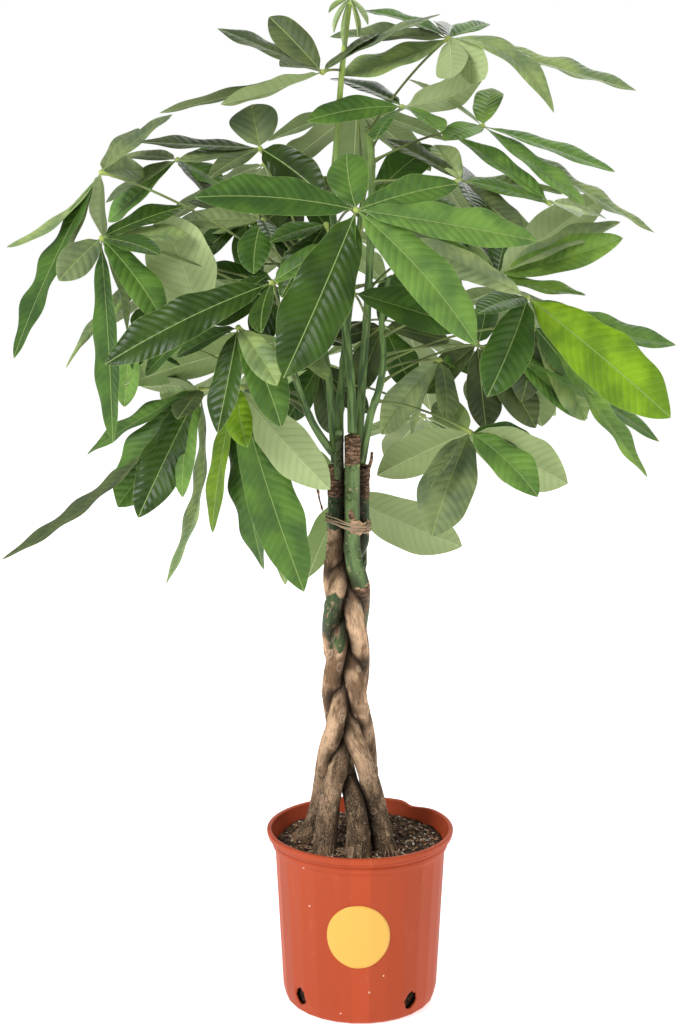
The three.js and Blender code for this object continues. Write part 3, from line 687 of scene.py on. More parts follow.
LENTICEL_DENSITY = 95.0
BARK_SHINE = 0.2
BARK_ROUGHNESS = 0.8
KNOT_HEIGHT = 0.0009
# How far in millimetres the painted shade between the stems reaches
CREVICE_SHADE_REACH = 20


def mix(a, b, t):
    """The value a share t of the way from one number to another."""
    return a + (b - a) * t


def smooth(t):
    """A share from 0 to 1 that starts and ends gently."""
    return t * t * (3 - 2 * t)


def stem_point(stem, height):
    """The middle of a stem at a height, in millimetres."""
    turn = 2 * math.pi * (stem["crossing"] - height) / BRAID_LENGTH
    x = BRAID_X + BRAID_SWING * math.sin(turn)
    y = BRAID_Y - BRAID_DEPTH * math.sin(2 * turn)
    rise = clamp((height - SOIL_LEVEL) / (stem["leaving"] - SOIL_LEVEL), 0, 1) ** stem["spread"]
    upright = smooth(clamp((height - BRAID_END) / (UPRIGHT_START - BRAID_END), 0, 1))
    x = mix(mix(stem["foot"][0], x, rise), stem["top"][0], upright)
    y = mix(mix(stem["foot"][1], y, rise), stem["top"][1], upright)
    return Vector((x, y, height))


def stem_radius(stem, height):
    """The radius of a stem at a height, with a small swelling at each ringed scar."""
    rise = clamp((height - SOIL_LEVEL) / (stem["leaving"] - SOIL_LEVEL), 0, 1) ** RISE_POWER
    low = mix(stem["foot_radius"], STEM_RADIUS, rise)
    radius = mix(low, STEM_TOP_RADIUS, smooth(clamp((height - BRAID_END) / TAPER_LENGTH, 0, 1)))
    wave = SWELLING * math.sin(height / SWELLING_SPACING + stem["crossing"])
    wave *= clamp((SWELLING_END - height) / SWELLING_FADE, 0, 1)
    return radius * (1 + wave) + SCAR_SWELLING * in_bands(height, stem["scars"], SCAR_SOFT)


def in_bands(height, bands, soft):
    """The share of the band that the height is in, falling to 0 over a soft edge."""
    return max(share * clamp(min(height - low, high - height) / soft + 0.5, 0, 1)
               for low, high, share in bands)


def painted_crevice_shade(point, own):
    """How deep a point of one stem lies against the other stems, from 0 to 1, as the share of painted shade
    that it gets.
    """
    height = point.z / MM
    gaps = [(stem_point(stem, height) - point / MM).length - stem_radius(stem, height)
            for name, stem in STEMS.items() if name != own and height < stem["height"]]
    return 1 - smooth(clamp(min(gaps, default=CREVICE_SHADE_REACH) / CREVICE_SHADE_REACH, 0, 1))


def give_values(mesh, name, values):
    """Stores a number by this name on each point of a mesh."""
    mesh.attributes.new(name, "FLOAT", "POINT").data.foreach_set("value", values)


def wire_mesh(name, strands):
    """Open strands as a mesh of edges.

    Each strand lists its points: the place in millimetres, the radius, and more values by name.
    """
    points, edges, thick, extra = [], [], [], {}
    for strand in strands:
        for k, (point, radius, values) in enumerate(strand):
            if k:
                edges.append((len(points) - 1, len(points)))
            points.append(tuple(Vector(point) * MM))
            thick.append(radius * MM)
            for key, value in values.items():
                extra.setdefault(key, []).append(value)
    mesh = bpy.data.meshes.new(name)
    mesh.from_pydata(points, edges, [])
    for key, values in {"thick": thick, **extra}.items():
        give_values(mesh, key, values)
    return mesh


def round_ended(strand, rounding, steps=3, share=0.98):
    """The strand with both ends rounded off over this length, almost to a point."""
    result = list(strand)
    for end, neighbour in ((0, 1), (-1, -2)):
        point, radius, values = strand[end]
        back = (Vector(strand[neighbour][0]) - Vector(point)).normalized() * rounding
        cap = []
        for k in range(steps + 1):
            turn = k / steps * share * math.pi / 2
            cap.append((Vector(point) + back * (1 - math.sin(turn)), radius * math.cos(turn), values))
        result = cap[::-1] + result[1:] if end == 0 else result[:-1] + cap
    return result


def attribute(tree, name, kind="FLOAT"):
    """A value stored on the mesh, in a Geometry Nodes tree."""
    return wire(tree, "GeometryNodeInputNamedAttribute", {"Name": name}, data_type=kind)


def stored(tree, geometry, name, value, kind="FLOAT"):
    """The geometry with a value stored on its points."""
    return wire(tree, "GeometryNodeStoreNamedAttribute", {"Geometry": geometry, "Name": name, "Value": value},
                data_type=kind)


def knots(place):
    """Oval scars of fallen buds: how far a place lies within one, and on its raised rim."""
    cell = cells(place * (1, 1, 0.7), KNOT_DENSITY)
    cell = cell + noise(place, 160, 2) * 0.12 + noise(place, 20, 1) * 0.2 - 0.17
    return 1 - ease(cell, 0.12, 0.19), ease(cell, 0.11, 0.17) - ease(cell, 0.19, 0.27)


tree, given = new_tree("round_strands", {
    "Sides": "Int", "Relief": "Float", "Grain": "Float", "Knots": "Float", "Shift": "Float",
    "Material": "Material"})
lines = wire(tree, "GeometryNodeMeshToCurve", {0: given["Geometry"]})
lines = stored(tree, lines, "along", wire(tree, "GeometryNodeSplineParameter", output=1))
ring = wire(tree, "GeometryNodeCurvePrimitiveCircle", {"Resolution": given["Sides"], "Radius": 1.0})
ring = stored(tree, ring, "round", wire(tree, "GeometryNodeInputPosition"), "FLOAT_VECTOR")
tube = wire(tree, "GeometryNodeCurveToMesh", {
    "Curve": lines, "Profile Curve": ring, "Scale": attribute(tree, "thick"), "Fill Caps": True})
across = attribute(tree, "round", "FLOAT_VECTOR") * attribute(tree, "thick")
on_bark = across + wire(tree, "ShaderNodeCombineXYZ", {"X": given["Shift"], "Z": attribute(tree, "along")})
tube = stored(tree, tube, "bark", on_bark, "FLOAT_VECTOR")
rough = (noise(on_bark, given["Grain"], 3, (1, 1, 0.35)) - 0.5) * given["Relief"]
rough = rough + knots(on_bark)[1] * given["Knots"]
tube = wire(tree, "GeometryNodeSetPosition", {
    "Geometry": tube, "Offset": wire(tree, "GeometryNodeInputNormal") * rough})
tube = wire(tree, "GeometryNodeSetShadeSmooth", {"Geometry": tube})
close_tree(tree, tube, given["Material"])
strand_tree = tree


def grown_strands(name, strands, material, sides, relief, grain=900.0, knot_height=0.0, shift=0.0):
    """A new object of round strands, with this many sides and a relief of this many metres."""
    return grown(name, wire_mesh(name, strands), strand_tree, {
        "Sides": sides, "Relief": relief, "Grain": grain, "Knots": knot_height, "Shift": shift,
        "Material": material})


def height_in(tree):
    """The height of the place on the piece, in metres."""
    return wire(tree, "ShaderNodeSeparateXYZ", {0: object_place(tree)}, output="Z")


def painted(tree, name, kind="Fac"):
    """A value stored on the mesh, in a material."""
    return wire(tree, "ShaderNodeAttribute", output=kind, attribute_name=name)


bark_material, tree, shader = new_material("stem_bark", BARK_TAN, BARK_ROUGHNESS, BARK_SHINE)
on_bark = painted(tree, "bark", "Vector")
height = height_in(tree)
patches = noise(on_bark, 30, 3, (1, 1, 0.5))
mottle = noise(on_bark, 110, 4, (1, 1, 0.5))
grain = noise(on_bark, 900, 3, (1, 1, 0.6))
fissures = noise(on_bark, 420, 4, (1, 1, 0.3))
knot, rim = knots(on_bark)
low_down = ease(height + patches * 0.12, 0.46, 0.28)
dots = 1 - ease(cells(on_bark * (1, 1, 0.8), LENTICEL_DENSITY), 0.09, 0.17)
green = ease(painted(tree, "green") + (patches - 0.5) * 1.1 + (mottle - 0.5) * 1.9, 0.40, 0.62)
skin = blend(ease(noise(on_bark, 75, 3, (1, 1, 0.15)), 0.35, 0.65), SKIN_GREEN, SKIN_LIGHT)
skin = blend(ease(noise(on_bark, 210, 2), 0.63, 0.70) * 0.7, skin, BARK_TAN)
rings = (painted(tree, "along") * (1 / (SCAR_RING * MM)) + noise(on_bark, 110, 3) * 3).apply("FRACT")
scar = ease(painted(tree, "scar") + (mottle - 0.5) * 1.4, 0.42, 0.58)
flakes = ease(noise(on_bark, 230, 4, (0.6, 0.6, 1.5)), 0.40, 0.56)
ringed = blend(flakes, blend(patches, SCAR_DARK, BARK_BROWN), BARK_PINK)
ringed = blend(ease(abs(rings - 0.5), 0.36, 0.48) * 0.8, ringed, SCAR_DARK)
colour = blend(ease(patches * 0.6 + mottle * 0.4, 0.42, 0.57), BARK_BROWN, BARK_TAN)
# The coats over that colour, from the lowest: how much of each shows, and its colour. The last is painted
# shade, darkest where the stems lie close together.
for share, coat in (
        (low_down * 0.9, blend(ease(mottle, 0.44, 0.62), BARK_GREY, BARK_LOW)),
        (ease(mottle, 0.6, 0.78) * 0.5, BARK_PINK),
        (ease(fissures, 0.54, 0.66) * (low_down * 0.25 + 0.4), BARK_DARK),
        (ease(grain, 0.56, 0.68) * (low_down * 0.55 + 0.1), BARK_PALE),
        (ease(grain, 0.48, 0.36) * (low_down * 0.6 + 0.15), BARK_DARK),
        (knot * 0.5, BARK_PINK),
        (rim * 0.6, BARK_PALE),
        (dots * 0.6, BARK_PALE),
        (green, skin * (0.5 + ease(height, 0.52, 0.56) * 0.5)),
        (scar, ringed),
        (painted(tree, "dry") * 0.9, blend(flakes, SCAR_DARK, BARK_PINK)),
        # Painted shade between the stems, where they lie close together
        (painted(tree, "painted_crevice_shade") * 0.94, BARK_DARK)):
    colour = blend(share, colour, coat)
relief = fissures * (low_down * 0.8 + 0.6) + grain * 0.3 + rim * 0.8 + dots * 0.6
relief = relief + (flakes - abs(rings - 0.5)) * scar * 0.8
finish(shader, colour, relief, 0.0026)
feed(shader.inputs["Roughness"], BARK_ROUGHNESS - green * 0.35)


def curve_point(points, t):
    """A point of a smooth curve through the points, by the centripetal Catmull-Rom rule."""
    count = len(points) - 1
    place = t * count
    i = min(int(place), count - 1)
    w = place - i
    p1, p2 = Vector(points[i]), Vector(points[i + 1])
    p0 = Vector(points[i - 1]) if i > 0 else p1 * 2 - p2
    p3 = Vector(points[i + 2]) if i + 2 <= count else p2 * 2 - p1
    d0, d1, d2 = (max((b - a).length ** 0.5, 1e-4) for a, b in ((p0, p1), (p1, p2), (p2, p3)))
    m1 = ((p1 - p0) / d0 - (p2 - p0) / (d0 + d1) + (p2 - p1) / d1) * d1
    m2 = ((p2 - p1) / d1 - (p3 - p1) / (d1 + d2) + (p3 - p2) / d2) * d1
    a, b = 2 * (p1 - p2) + m1 + m2, 3 * (p2 - p1) - 2 * m1 - m2
    return ((a * w + b) * w + m1) * w + p1


def spur_strand(spur, steps=24):
    """A stub, bud or dry stalk on a stem, as a strand."""
    first, last = spur["radii"]
    strand = [(curve_point(spur["path"], k / steps), mix(first, last, k / steps),
               {"green": 1 - spur["dry"], "scar": 0, "dry": spur["dry"]}) for k in range(steps + 1)]
    return round_ended(strand, last * 0.5)


for number, (name, stem) in enumerate(STEMS.items()):
    steps = round((stem["height"] - STEM_BOTTOM) / STEM_RING)
    heights = [mix(STEM_BOTTOM, stem["height"], k / steps) for k in range(steps + 1)]
    strand = []
    for z in heights:
        green, scar = in_bands(z, stem["green"], GREEN_SOFT), in_bands(z, stem["scars"], SCAR_SOFT)
        strand.append((stem_point(stem, z), stem_radius(stem, z), {"green": green, "scar": scar, "dry": 0}))
    strands = [round_ended(strand, CUT_ROUNDING)] + [spur_strand(spur) for spur in SPURS.get(name, [])]
    trunk = grown_strands(name.replace("trunk", "stem"), strands, bark_material, STEM_SIDES, BARK_DEPTH,
                          BARK_GRAIN, KNOT_HEIGHT, number * STEM_PATTERN_SHIFT)
    # Painted shade on each point, from how close the other stems lie
    give_values(trunk.data, "painted_crevice_shade", [painted_crevice_shade(vertex.co, name) for vertex in trunk.data.vertices])
    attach(trunk, "root")
    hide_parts(name)

# Fine roots
# Dry hair roots at the feet of the stems, which lie over the soil and partly under it.
ROOT_COUNT = 46
ROOT_LENGTH = (10, 34)
ROOT_RADIUS = (0.28, 0.6)
ROOT_BEND = 1.6
ROOT_START = 0.9
ROOT_RISE = 3
ROOT_ON_TOP = 0.9
ROOT_DIVE = 2
ROOT_TAPER = 0.6
ROOT_FEET = ("trunk_right", "trunk_right", "trunk_back_right", "trunk_centre", "trunk_back_left")
ROOT_STEPS = 12
ROOT_COLOUR = (0.33, 0.215, 0.125)
ROOT_ROUGHNESS = 0.9
draw = random.Random(23)
strands = []
for k in range(ROOT_COUNT):
    stem = STEMS[ROOT_FEET[k % len(ROOT_FEET)]]
    bearing = draw.uniform(0, 2 * math.pi)
    spot = Vector(stem["foot"]) + level_way(bearing).xy * stem["foot_radius"] * ROOT_START
    length, radius = draw.uniform(*ROOT_LENGTH), draw.uniform(*ROOT_RADIUS)
    bend = draw.uniform(-ROOT_BEND, ROOT_BEND)
    strand = []
    for i in range(ROOT_STEPS + 1):
        t = i / ROOT_STEPS
        reach = min(spot.length, GRAIN_AREA_RADIUS)
        x, y, z = soil_top(reach, math.atan2(spot.y, spot.x))
        lift = ROOT_RISE * (1 - t) ** 2 + ROOT_ON_TOP - ROOT_DIVE * t * t
        strand.append(((x / MM, y / MM, z / MM + lift), radius * (1 - ROOT_TAPER * t), {}))
        spot = spot + level_way(bearing + bend * t).xy * length / ROOT_STEPS
    strands.append(round_ended(strand, radius * 0.5))
root_material, _, _ = new_material("fine_root", ROOT_COLOUR, ROOT_ROUGHNESS)
roots = grown_strands("fine_roots", strands, root_material, sides=6, relief=0.0002)
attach(roots, "root")
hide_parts("soil")

# Twine tie
# Four turns of thin tan twine hold the stems together above the braid. A dry papery
# strip of bark fibre is caught under them at the right.
TIE_LEVEL = 598
TIE_SLOPE = 0.22
TWINE_RADIUS = 0.8
TWINE_TURNS = (-4.2, -1.6, 0.6, 3.2)
TWINE_STEPS = 120
TWINE_START = 200
TWINE_STAGGER = 35
TWINE_OVERLAP = 1.02
TWINE_SAG = 0.9
TWINE_GAP = 0.9
TWINE_COLOUR = (0.60, 0.46, 0.31)
TWINE_DARK = (0.19, 0.125, 0.07)
TWINE_ROUGHNESS = 0.9
STRIP_FROM = -88
STRIP_TO = -14
STRIP_COLUMNS = 40
STRIP_ROWS = 10
STRIP_HALF = 7.5
STRIP_SIDES = (0.25, 0.75)
STRIP_COLOUR = (0.66, 0.42, 0.25)
STRIP_ROUGHNESS = 0.85
tops = [Vector((*stem["top"], 0)) for stem in STEMS.values()]
tie_centre = sum(tops, Vector()) / len(tops)


def tie_point(angle, height, lift):
    """A point of a line pulled tight round the upright stems."""
    out = level_way(angle)
    reach = max((top - tie_centre).dot(out) for top in tops) + STEM_TOP_RADIUS + lift
    point = tie_centre + out * reach
    return point + Vector((0, 0, TIE_LEVEL + height - TIE_SLOPE * (point.x - tie_centre.x)))


twine_material, tree, shader = new_material("twine_fibre", TWINE_COLOUR, TWINE_ROUGHNESS)
on_twine = painted(tree, "bark", "Vector")
colour = blend(noise(on_twine, 700, 3, (1, 1, 0.3)), TWINE_COLOUR, TWINE_DARK)
finish(shader, colour, noise(on_twine, 1500, 2, (1, 1, 0.2)), 0.0004, 0.8)
strands = []
for k, height in enumerate(TWINE_TURNS):
    start = math.radians(TWINE_START + TWINE_STAGGER * k)
    strand = []
    for i in range(TWINE_STEPS + 1):
        angle = start + 2 * math.pi * i / TWINE_STEPS * TWINE_OVERLAP
        sag = height + TWINE_SAG * math.sin(angle * 2 + k * 2.1)
        strand.append((tie_point(angle, sag, TWINE_GAP + TWINE_RADIUS), TWINE_RADIUS, {}))
    strands.append(round_ended(strand, TWINE_RADIUS))
twine = grown_strands("twine_turns", strands, twine_material, sides=8, relief=0.0003)
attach(twine, "root")
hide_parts("tie")

strip_material, tree, shader = new_material("fibre_strip", STRIP_COLOUR, STRIP_ROUGHNESS)
place = object_place(tree)
colour = blend(ease(noise(place, 240, 4, (0.4, 0.4, 1)), 0.35, 0.7), STRIP_COLOUR, TWINE_DARK)
finish(shader, colour, noise(place, 500, 3, (0.3, 0.3, 1)), 0.0006, 0.8)
points, faces = [], []
for lift in STRIP_SIDES:
    for i in range(STRIP_COLUMNS + 1):
        t = i / STRIP_COLUMNS
        angle = math.radians(mix(STRIP_FROM, STRIP_TO, t))
        ragged = 1.2 * math.sin(9 * t) + 0.8 * math.sin(23 * t + 1)
        for k in range(STRIP_ROWS + 1):
            v = k / STRIP_ROWS * 2 - 1
            crease = 0.35 * math.sin(v * 9 + 2 * t)
            points.append(tie_point(angle, v * (STRIP_HALF + ragged), lift + crease * 0.5 + 0.2) * MM)
row = STRIP_ROWS + 1
last = STRIP_COLUMNS * row
side = last + row
edges = []
for i in range(STRIP_COLUMNS):
    for k in range(STRIP_ROWS):
        a, b = i * row + k, (i + 1) * row + k
        faces += [(side + a, side + b, side + b + 1, side + a + 1), (a, a + 1, b + 1, b)]
    edges += [(i * row, (i + 1) * row), ((i + 1) * row + STRIP_ROWS, i * row + STRIP_ROWS)]
for k in range(STRIP_ROWS):
    edges += [(k + 1, k), (last + k, last + k + 1)]
faces += [(a, b, side + b, side + a) for a, b in edges]
strip = modelled("fibre_strip", points, faces, strip_material)
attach(strip, "root")
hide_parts("tie")

# Shoots and leaf stalks
# Long green shoots rise from the cut stems. Each leaf has a thin round stalk, swollen
# where it leaves the shoot and again at the hub that holds its leaflets.
SHOOT_STEP = 6
SHOOT_SIDES = 16
STALK_RADIUS = 1.45
STALK_FOOT = 3.0
HUB_RADIUS = 3.6
STALK_LIFT = 0.12
STALK_STEPS = 28
NODE_SWELLING = 0.7
NODE_LENGTH = 4
STALK_FOOT_STEPS = 2.2
HUB_LENGTH = 5
HUB_TINT_LENGTH = 14
HUB_OVERRUN = 2.5
STALK_ROUNDING = 1.2
SHOOT_ROUNDING = 2
SHOOTS = {
    "leader": {"radii": (5.6, 2.6), "lines": {"leader": [
        (-10, -22, 705.8), (-12, -17, 766), (-19, -8, 836), (-29, -3, 917), (-33, 0, 974),
        (-28, 0, 1042), (-24, 0, 1098), (-19, 0, 1150), (-13, 0, 1196)]}},
    "tall": {"radii": (5.2, 3.4), "lines": {"tall": [
        (-3, 15, 674.3), (2, 13, 766), (8, 8, 859), (12, 4, 974), (11, 2, 1031), (6, 0, 1056)]}},
    "low": {"radii": (5, 3), "lines": {"low": [
        (1, -5, 667.8), (11, -7, 724), (22, -8, 760), (26, -5, 795), (24, 0, 840), (32, 5, 885)]}},
    "left": {"radii": (5.2, 3), "lines": {
        "left": [(-30, -9, 668.5), (-35, -8, 742), (-39, -6, 780), (-48, -2, 824), (-60, 2, 882),
                 (-72, 5, 940)],
        "branch": [(-32, -9, 680), (-46, -14, 700), (-58, -21, 722), (-67, -27, 745), (-77, -33, 777),
                   (-90, -38, 830)]}},
    "back": {"radii": (5, 3), "lines": {"back": [
        (-25, 12, 661.8), (-24, 34, 740), (-16, 52, 820), (-6, 62, 900), (4, 68, 985)]}},
}

# The leaves, by the line that they grow on. A leaf is how far along the line it starts, its
# hub, a letter for the tone of each leaflet, and its leaflets. A leaflet is its reach from
# the hub to the right, to the back and up, its width, how squarely its upper side faces the
# viewpoint, and its bow where it isn't the usual.
VIEWPOINT = (-25, -2400, 1084)
USUAL_BOW = 0.03
LEAVES = {
    "leader": [
        (0.8, (-45, -20, 1117), "GGGKSHG", [
            (-60, 40, 62, 40, 0.95), (-120, 60, 50, 44, 0.4, 0), (-45, -60, 5, 34, 0.2),
            (-180, -40, -45, 54, -0.2, 0), (-110, -70, -35, 44, -0.4, -0.03), (135, 40, 65, 46, 0.2),
            (65, 35, 45, 34, 0.25)]),
        (0.42, (-7, -150, 970), "NMDMLLN", [
            (-10, 60, 58, 50, 1), (-172, -20, 14, 58, 0.8), (-78, -45, -176, 76, 1), (-12, 10, -114, 50, 0.5),
            (128, -45, -141, 62, 0.9), (195, -10, -33, 56, 0.75), (112, 40, 26, 40, 0.9)]),
        (0.3, (4, -30, 950), "NG", [
            (123, 0, -35, 36, 0.5), (60, 30, 40, 34, 0.4)]),
        (0.25, (-40, -70, 950), "MD", [
            (-62, -25, -18, 34, 0.6), (-50, -15, -80, 46, 0.8)]),
    ],
    "tall": [
        (0.35, (-10, -60, 873), "ND", [
            (128, 0, -40, 60, 0.8), (-60, 20, -75, 44, 0.7)]),
        (0.5, (14, 40, 975), "MN", [
            (72, 40, 58, 50, 0.9), (110, 50, -20, 46, 0.5)]),
        (0.94, (100, 30, 1156), "HNDNSSPPS", [
            (-136, 30, 2, 46, 0.42), (-99, 70, 33, 40, 0.28), (8, 100, 18, 46, 1), (49, 80, 19, 34, 0.5),
            (118, -40, -84, 44, 0.55, 0.2), (218, 10, -59, 56, 0.28, 0), (38, -60, -46, 42, -0.95),
            (-2, -75, -46, 42, -0.95), (-125, -20, -42, 56, 0.5, -0.03)]),
        (0.8, (47, 0, 1079), "DNMPL", [
            (-83, 90, 32, 40, 0.4), (-108, -40, -16, 40, 0.75), (-32, -80, -36, 36, 0.4),
            (98, 40, 40, 60, -0.7, -0.12), (40, -90, -27, 38, 0.4)]),
        (0.74, (140, 20, 1057), "BPLLSL", [
            (16, 90, 43, 38, 0.95), (-85, 40, 53, 34, 0.2), (-47, -90, -15, 38, 0.65),
            (153, 0, -52, 48, 0.33, 0), (204, 20, -123, 56, 0.28, -0.01), (111, -70, -87, 46, 0.45, 0)]),
        (0.6, (113, -20, 996), "GMSGPA", [
            (-86, 60, 46, 38, 0.45), (2, 120, 17, 40, 0.55), (119, 30, -16, 38, 0.38),
            (63, -100, -55, 42, 0.85), (-28, 60, 39, 32, 0.9), (13, -100, -33, 36, 0.5)]),
        (0.66, (213, -40, 972), "LNPP", [
            (-104, 40, 72, 42, 0.5), (-93, -30, 25, 36, 0.4), (23, -90, -11, 32, 0.2),
            (70, 60, -20, 38, 0.3)]),
    ],
    "low": [
        (0.85, (158, 10, 887), "PBTLABM", [
            (144, 20, 60, 48, 0.5), (142, -20, 44, 54, 0.75, -0.03), (132, 50, 90, 54, -1),
            (-48, 90, 23, 38, -0.8), (-7, 100, 30, 38, 0.65), (96, -60, -18, 38, 0.42, -0.03),
            (20, 95, 42, 36, 0.95)]),
        (0.7, (185, -90, 870), "PMMYLBB", [
            (-143, 20, 61, 44, 0.78), (-48, -60, -103, 56, 1), (-62, -100, -8, 40, 0.65),
            (160, -20, -132, 76, 0.97), (170, 20, -55, 50, 0.55, -0.05), (144, 30, -209, 64, 0.4, -0.02),
            (83, 30, -113, 46, 0.65)]),
        (0.6, (176, 30, 797), "DPLLMA", [
            (88, 60, -84, 44, 0.62), (65, 90, -91, 44, 0.6), (98, 40, -87, 44, 0.8), (184, 30, -114, 54, 0.4),
            (45, 60, -100, 64, -0.8), (-40, 50, -75, 60, -0.8)]),
        (0.3, (126, -30, 709), "HLGMPHSS", [
            (-46, -60, -111, 68, 1), (74, -60, -65, 52, 0.85), (72, 20, -54, 38, 0.85),
            (81, 60, -22, 42, 0.95), (118, 30, -66, 70, -1), (-47, -60, -53, 38, 0.38),
            (-38, 80, 22, 40, 0.95), (-106, 62, -62, 56, -0.95)]),
        (0.5, (94, 40, 784), "PPHL", [
            (-68, 40, -95, 44, 0.95), (-33, -20, -90, 34, 0.2), (4, -60, -63, 34, 0.85),
            (70, 70, -40, 44, 0.5)]),
    ],
    "left": [
        (0.95, (-115, -30, 1033), "HAHKG", [
            (-10, 30, 48, 60, 1), (74, -60, -53, 50, 1), (-91, -20, -13, 38, 0.42, 0),
            (-138, 0, 7, 42, 0.33, 0), (-53, -60, -31, 36, 0.55)]),
        (0.9, (-212, 20, 1019), "HLKNHM", [
            (-87, 30, -51, 38, 0.38), (-88, 60, -74, 44, 0.6), (37, -80, -38, 36, 0.5),
            (55, -60, -28, 36, 0.7), (-70, 60, 2, 36, 0.4), (89, 30, 11, 36, 0.52)]),
        (0.75, (-296, -20, 1006), "HHPMSPP", [
            (78, 50, 64, 40, 0.42), (36, 70, 48, 36, 0.58), (44, 60, 1, 34, 0.9),
            (-102, -20, -210, 60, 0.42, 0.01), (-113, 20, -86, 46, 0.2, -0.1), (7, -60, -68, 36, -0.55),
            (-55, 40, -123, 44, 0.36)]),
        (0.6, (-293, -60, 934), "HDSMNMS", [
            (-43, -40, -44, 42, 0.95), (92, 40, 33, 38, 0.6), (99, 20, 2, 38, 0.52), (71, -60, -15, 36, 0.6),
            (74, -40, -94, 44, 0.9), (11, -20, -230, 50, 0.6, -0.02), (25, 20, -109, 38, 0.3)]),
        (0.82, (-114, 0, 951), "HMDS", [
            (-98, 20, -3, 36, 0.72), (-7, -70, -56, 42, 0.95), (13, -60, -19, 32, 0.7),
            (-60, 90, -20, 40, 0.4)]),
        (0.7, (-240, 40, 900), "SBPM", [
            (-112, 20, -128, 44, 0.25), (-60, 70, -70, 44, 0.4), (50, -30, -75, 40, 0.4),
            (70, -20, 20, 36, 0.5)]),
        (0.55, (-80, 10, 812), "LMS", [
            (-198, 10, -55, 60, -0.8), (-60, 60, -80, 44, 0.6), (40, -60, -40, 38, 0.7)]),
    ],
    "branch": [
        (0.9, (-99, -130, 890), "DDN", [
            (-181, -30, -86, 58, 0.88), (-9, -70, -47, 34, 0.68), (60, -10, 40, 36, 0.7)]),
        (0.75, (-137, -120, 840), "DNSM", [
            (-22, -30, -113, 42, 0.85), (48, -40, -105, 48, 0.95), (44, -50, -58, 38, 0.95),
            (-70, 20, -35, 40, 0.5)]),
        (0.8, (-178, -60, 838), "PMD", [
            (-50, 30, 122, 80, -1), (-70, 20, -62, 44, 0.5), (70, 50, 50, 44, 0.6)]),
        (0.55, (-141, -60, 765), "YPMNLV", [
            (14, -70, -57, 36, 0.85), (105, -20, -114, 58, -1, -0.06), (28, 10, -215, 56, 0.6),
            (75, -20, -234, 66, 0.95), (52, 30, -238, 56, -0.6), (-32, 20, -173, 48, 0.45)]),
        (0.65, (-189, 10, 753), "DNNGLSGHS", [
            (-71, -40, -145, 58, 0.98), (-100, 10, -142, 76, 0.9), (-139, 40, -84, 48, 0.4),
            (-236, -20, -200, 66, 0.22, -0.06), (-18, -50, -119, 40, 0.75), (-42, -20, -230, 60, 0.25, -0.1),
            (-20, -80, -23, 34, 0.75), (-74, 60, -5, 36, -0.6), (-52, 60, -14, 44, 1)]),
    ],
    "back": [
        (0.12, (-18, 60, 618), "PLLL", [
            (143, 20, -68, 66, -1, 0.06), (-46, 40, -112, 44, -0.9), (-60, 40, 50, 36, -0.9),
            (60, 90, -50, 44, -0.6)]),
    ],
}

# Leaves behind the plant: how far along the back shoot each one starts, and the bearing of
# its hub from the pot's middle in degrees, its distance and its height
BACK_LEAVES = (
    (0.98, 92, 120, 1075), (0.9, 128, 190, 1010), (0.9, 58, 200, 985), (0.75, 100, 250, 925),
    (0.7, 148, 230, 880), (0.65, 40, 235, 860), (0.5, 75, 240, 800), (0.45, 118, 235, 770),
    (0.3, 62, 170, 700))
FAN_LEAFLETS = 5
FAN_STEP = 48
FAN_LONGEST = 185
FAN_SHORTEST = 110
FAN_WIDTH = 0.31
FAN_DROOPS = (42, 18)
BACK_TONES = ("MDNGM", "DMHDM", "MMGMN", "NLMGM")

# Leaves deep inside the crown, which fill it
INNER_LEAVES = {
    "left": [
        (0.5, (-100, 40, 878), "DDKMG", [
            (-80, 10, -50, 50, 0.8), (-20, 10, -80, 46, 0.85), (60, 20, -70, 44, 0.6), (-95, 20, 10, 44, 0.5),
            (40, 30, 50, 36, 0.4)]),
        (0.66, (-136, 60, 948), "MDDG", [
            (10, 10, -75, 44, 0.9), (-60, 20, -50, 40, 0.7), (60, 10, -40, 40, 0.6), (-70, 30, 20, 38, 0.4)]),
    ],
    "branch": [
        (0.45, (-270, 20, 825), "MLDD", [
            (20, 10, -60, 40, 0.9), (-10, 10, -95, 38, 0.9), (30, 10, 20, 36, 0.6), (70, 10, -45, 40, 0.8)]),
    ],
    "back": [
        (0.25, (-50, 60, 776), "MGDK", [
            (-40, 10, -70, 44, 0.9), (15, 10, -85, 44, 0.9), (-70, 20, -10, 40, 0.6),
            (60, 20, -60, 44, 0.8)]),
        (0.38, (28, 80, 820), "GMGKD", [
            (-30, 0, -80, 44, 0.9), (35, 0, -75, 46, 0.9), (80, 20, -20, 44, 0.7), (-70, 10, -20, 40, 0.7),
            (10, 20, 60, 40, 0.6)]),
    ],
    "low": [
        (0.42, (139, 50, 802), "KGNGM", [
            (12, 0, -104, 50, 0.9), (72, 10, -102, 52, 0.9), (95, 20, -45, 44, 0.8), (-60, 10, -60, 44, 0.8),
            (10, 10, 55, 40, 0.8)]),
        (0.55, (204, 40, 825), "GMS", [
            (-12, 10, -92, 46, 0.9), (50, 10, -60, 40, 0.8), (66, 20, -116, 60, 0.85)]),
    ],
    "leader": [
        (0.5, (-71, 60, 977), "DKDG", [
            (-60, 10, -45, 42, 0.8), (-20, 0, -75, 42, 0.9), (50, 0, -65, 42, 0.8), (60, 20, 15, 40, 0.5)]),
    ],
    "tall": [
        (0.42, (81, 60, 919), "DKMG", [
            (70, 10, -35, 46, 0.8), (30, 0, -80, 46, 0.9), (-40, 0, -70, 44, 0.9), (80, 20, 20, 42, 0.6)]),
    ],
}

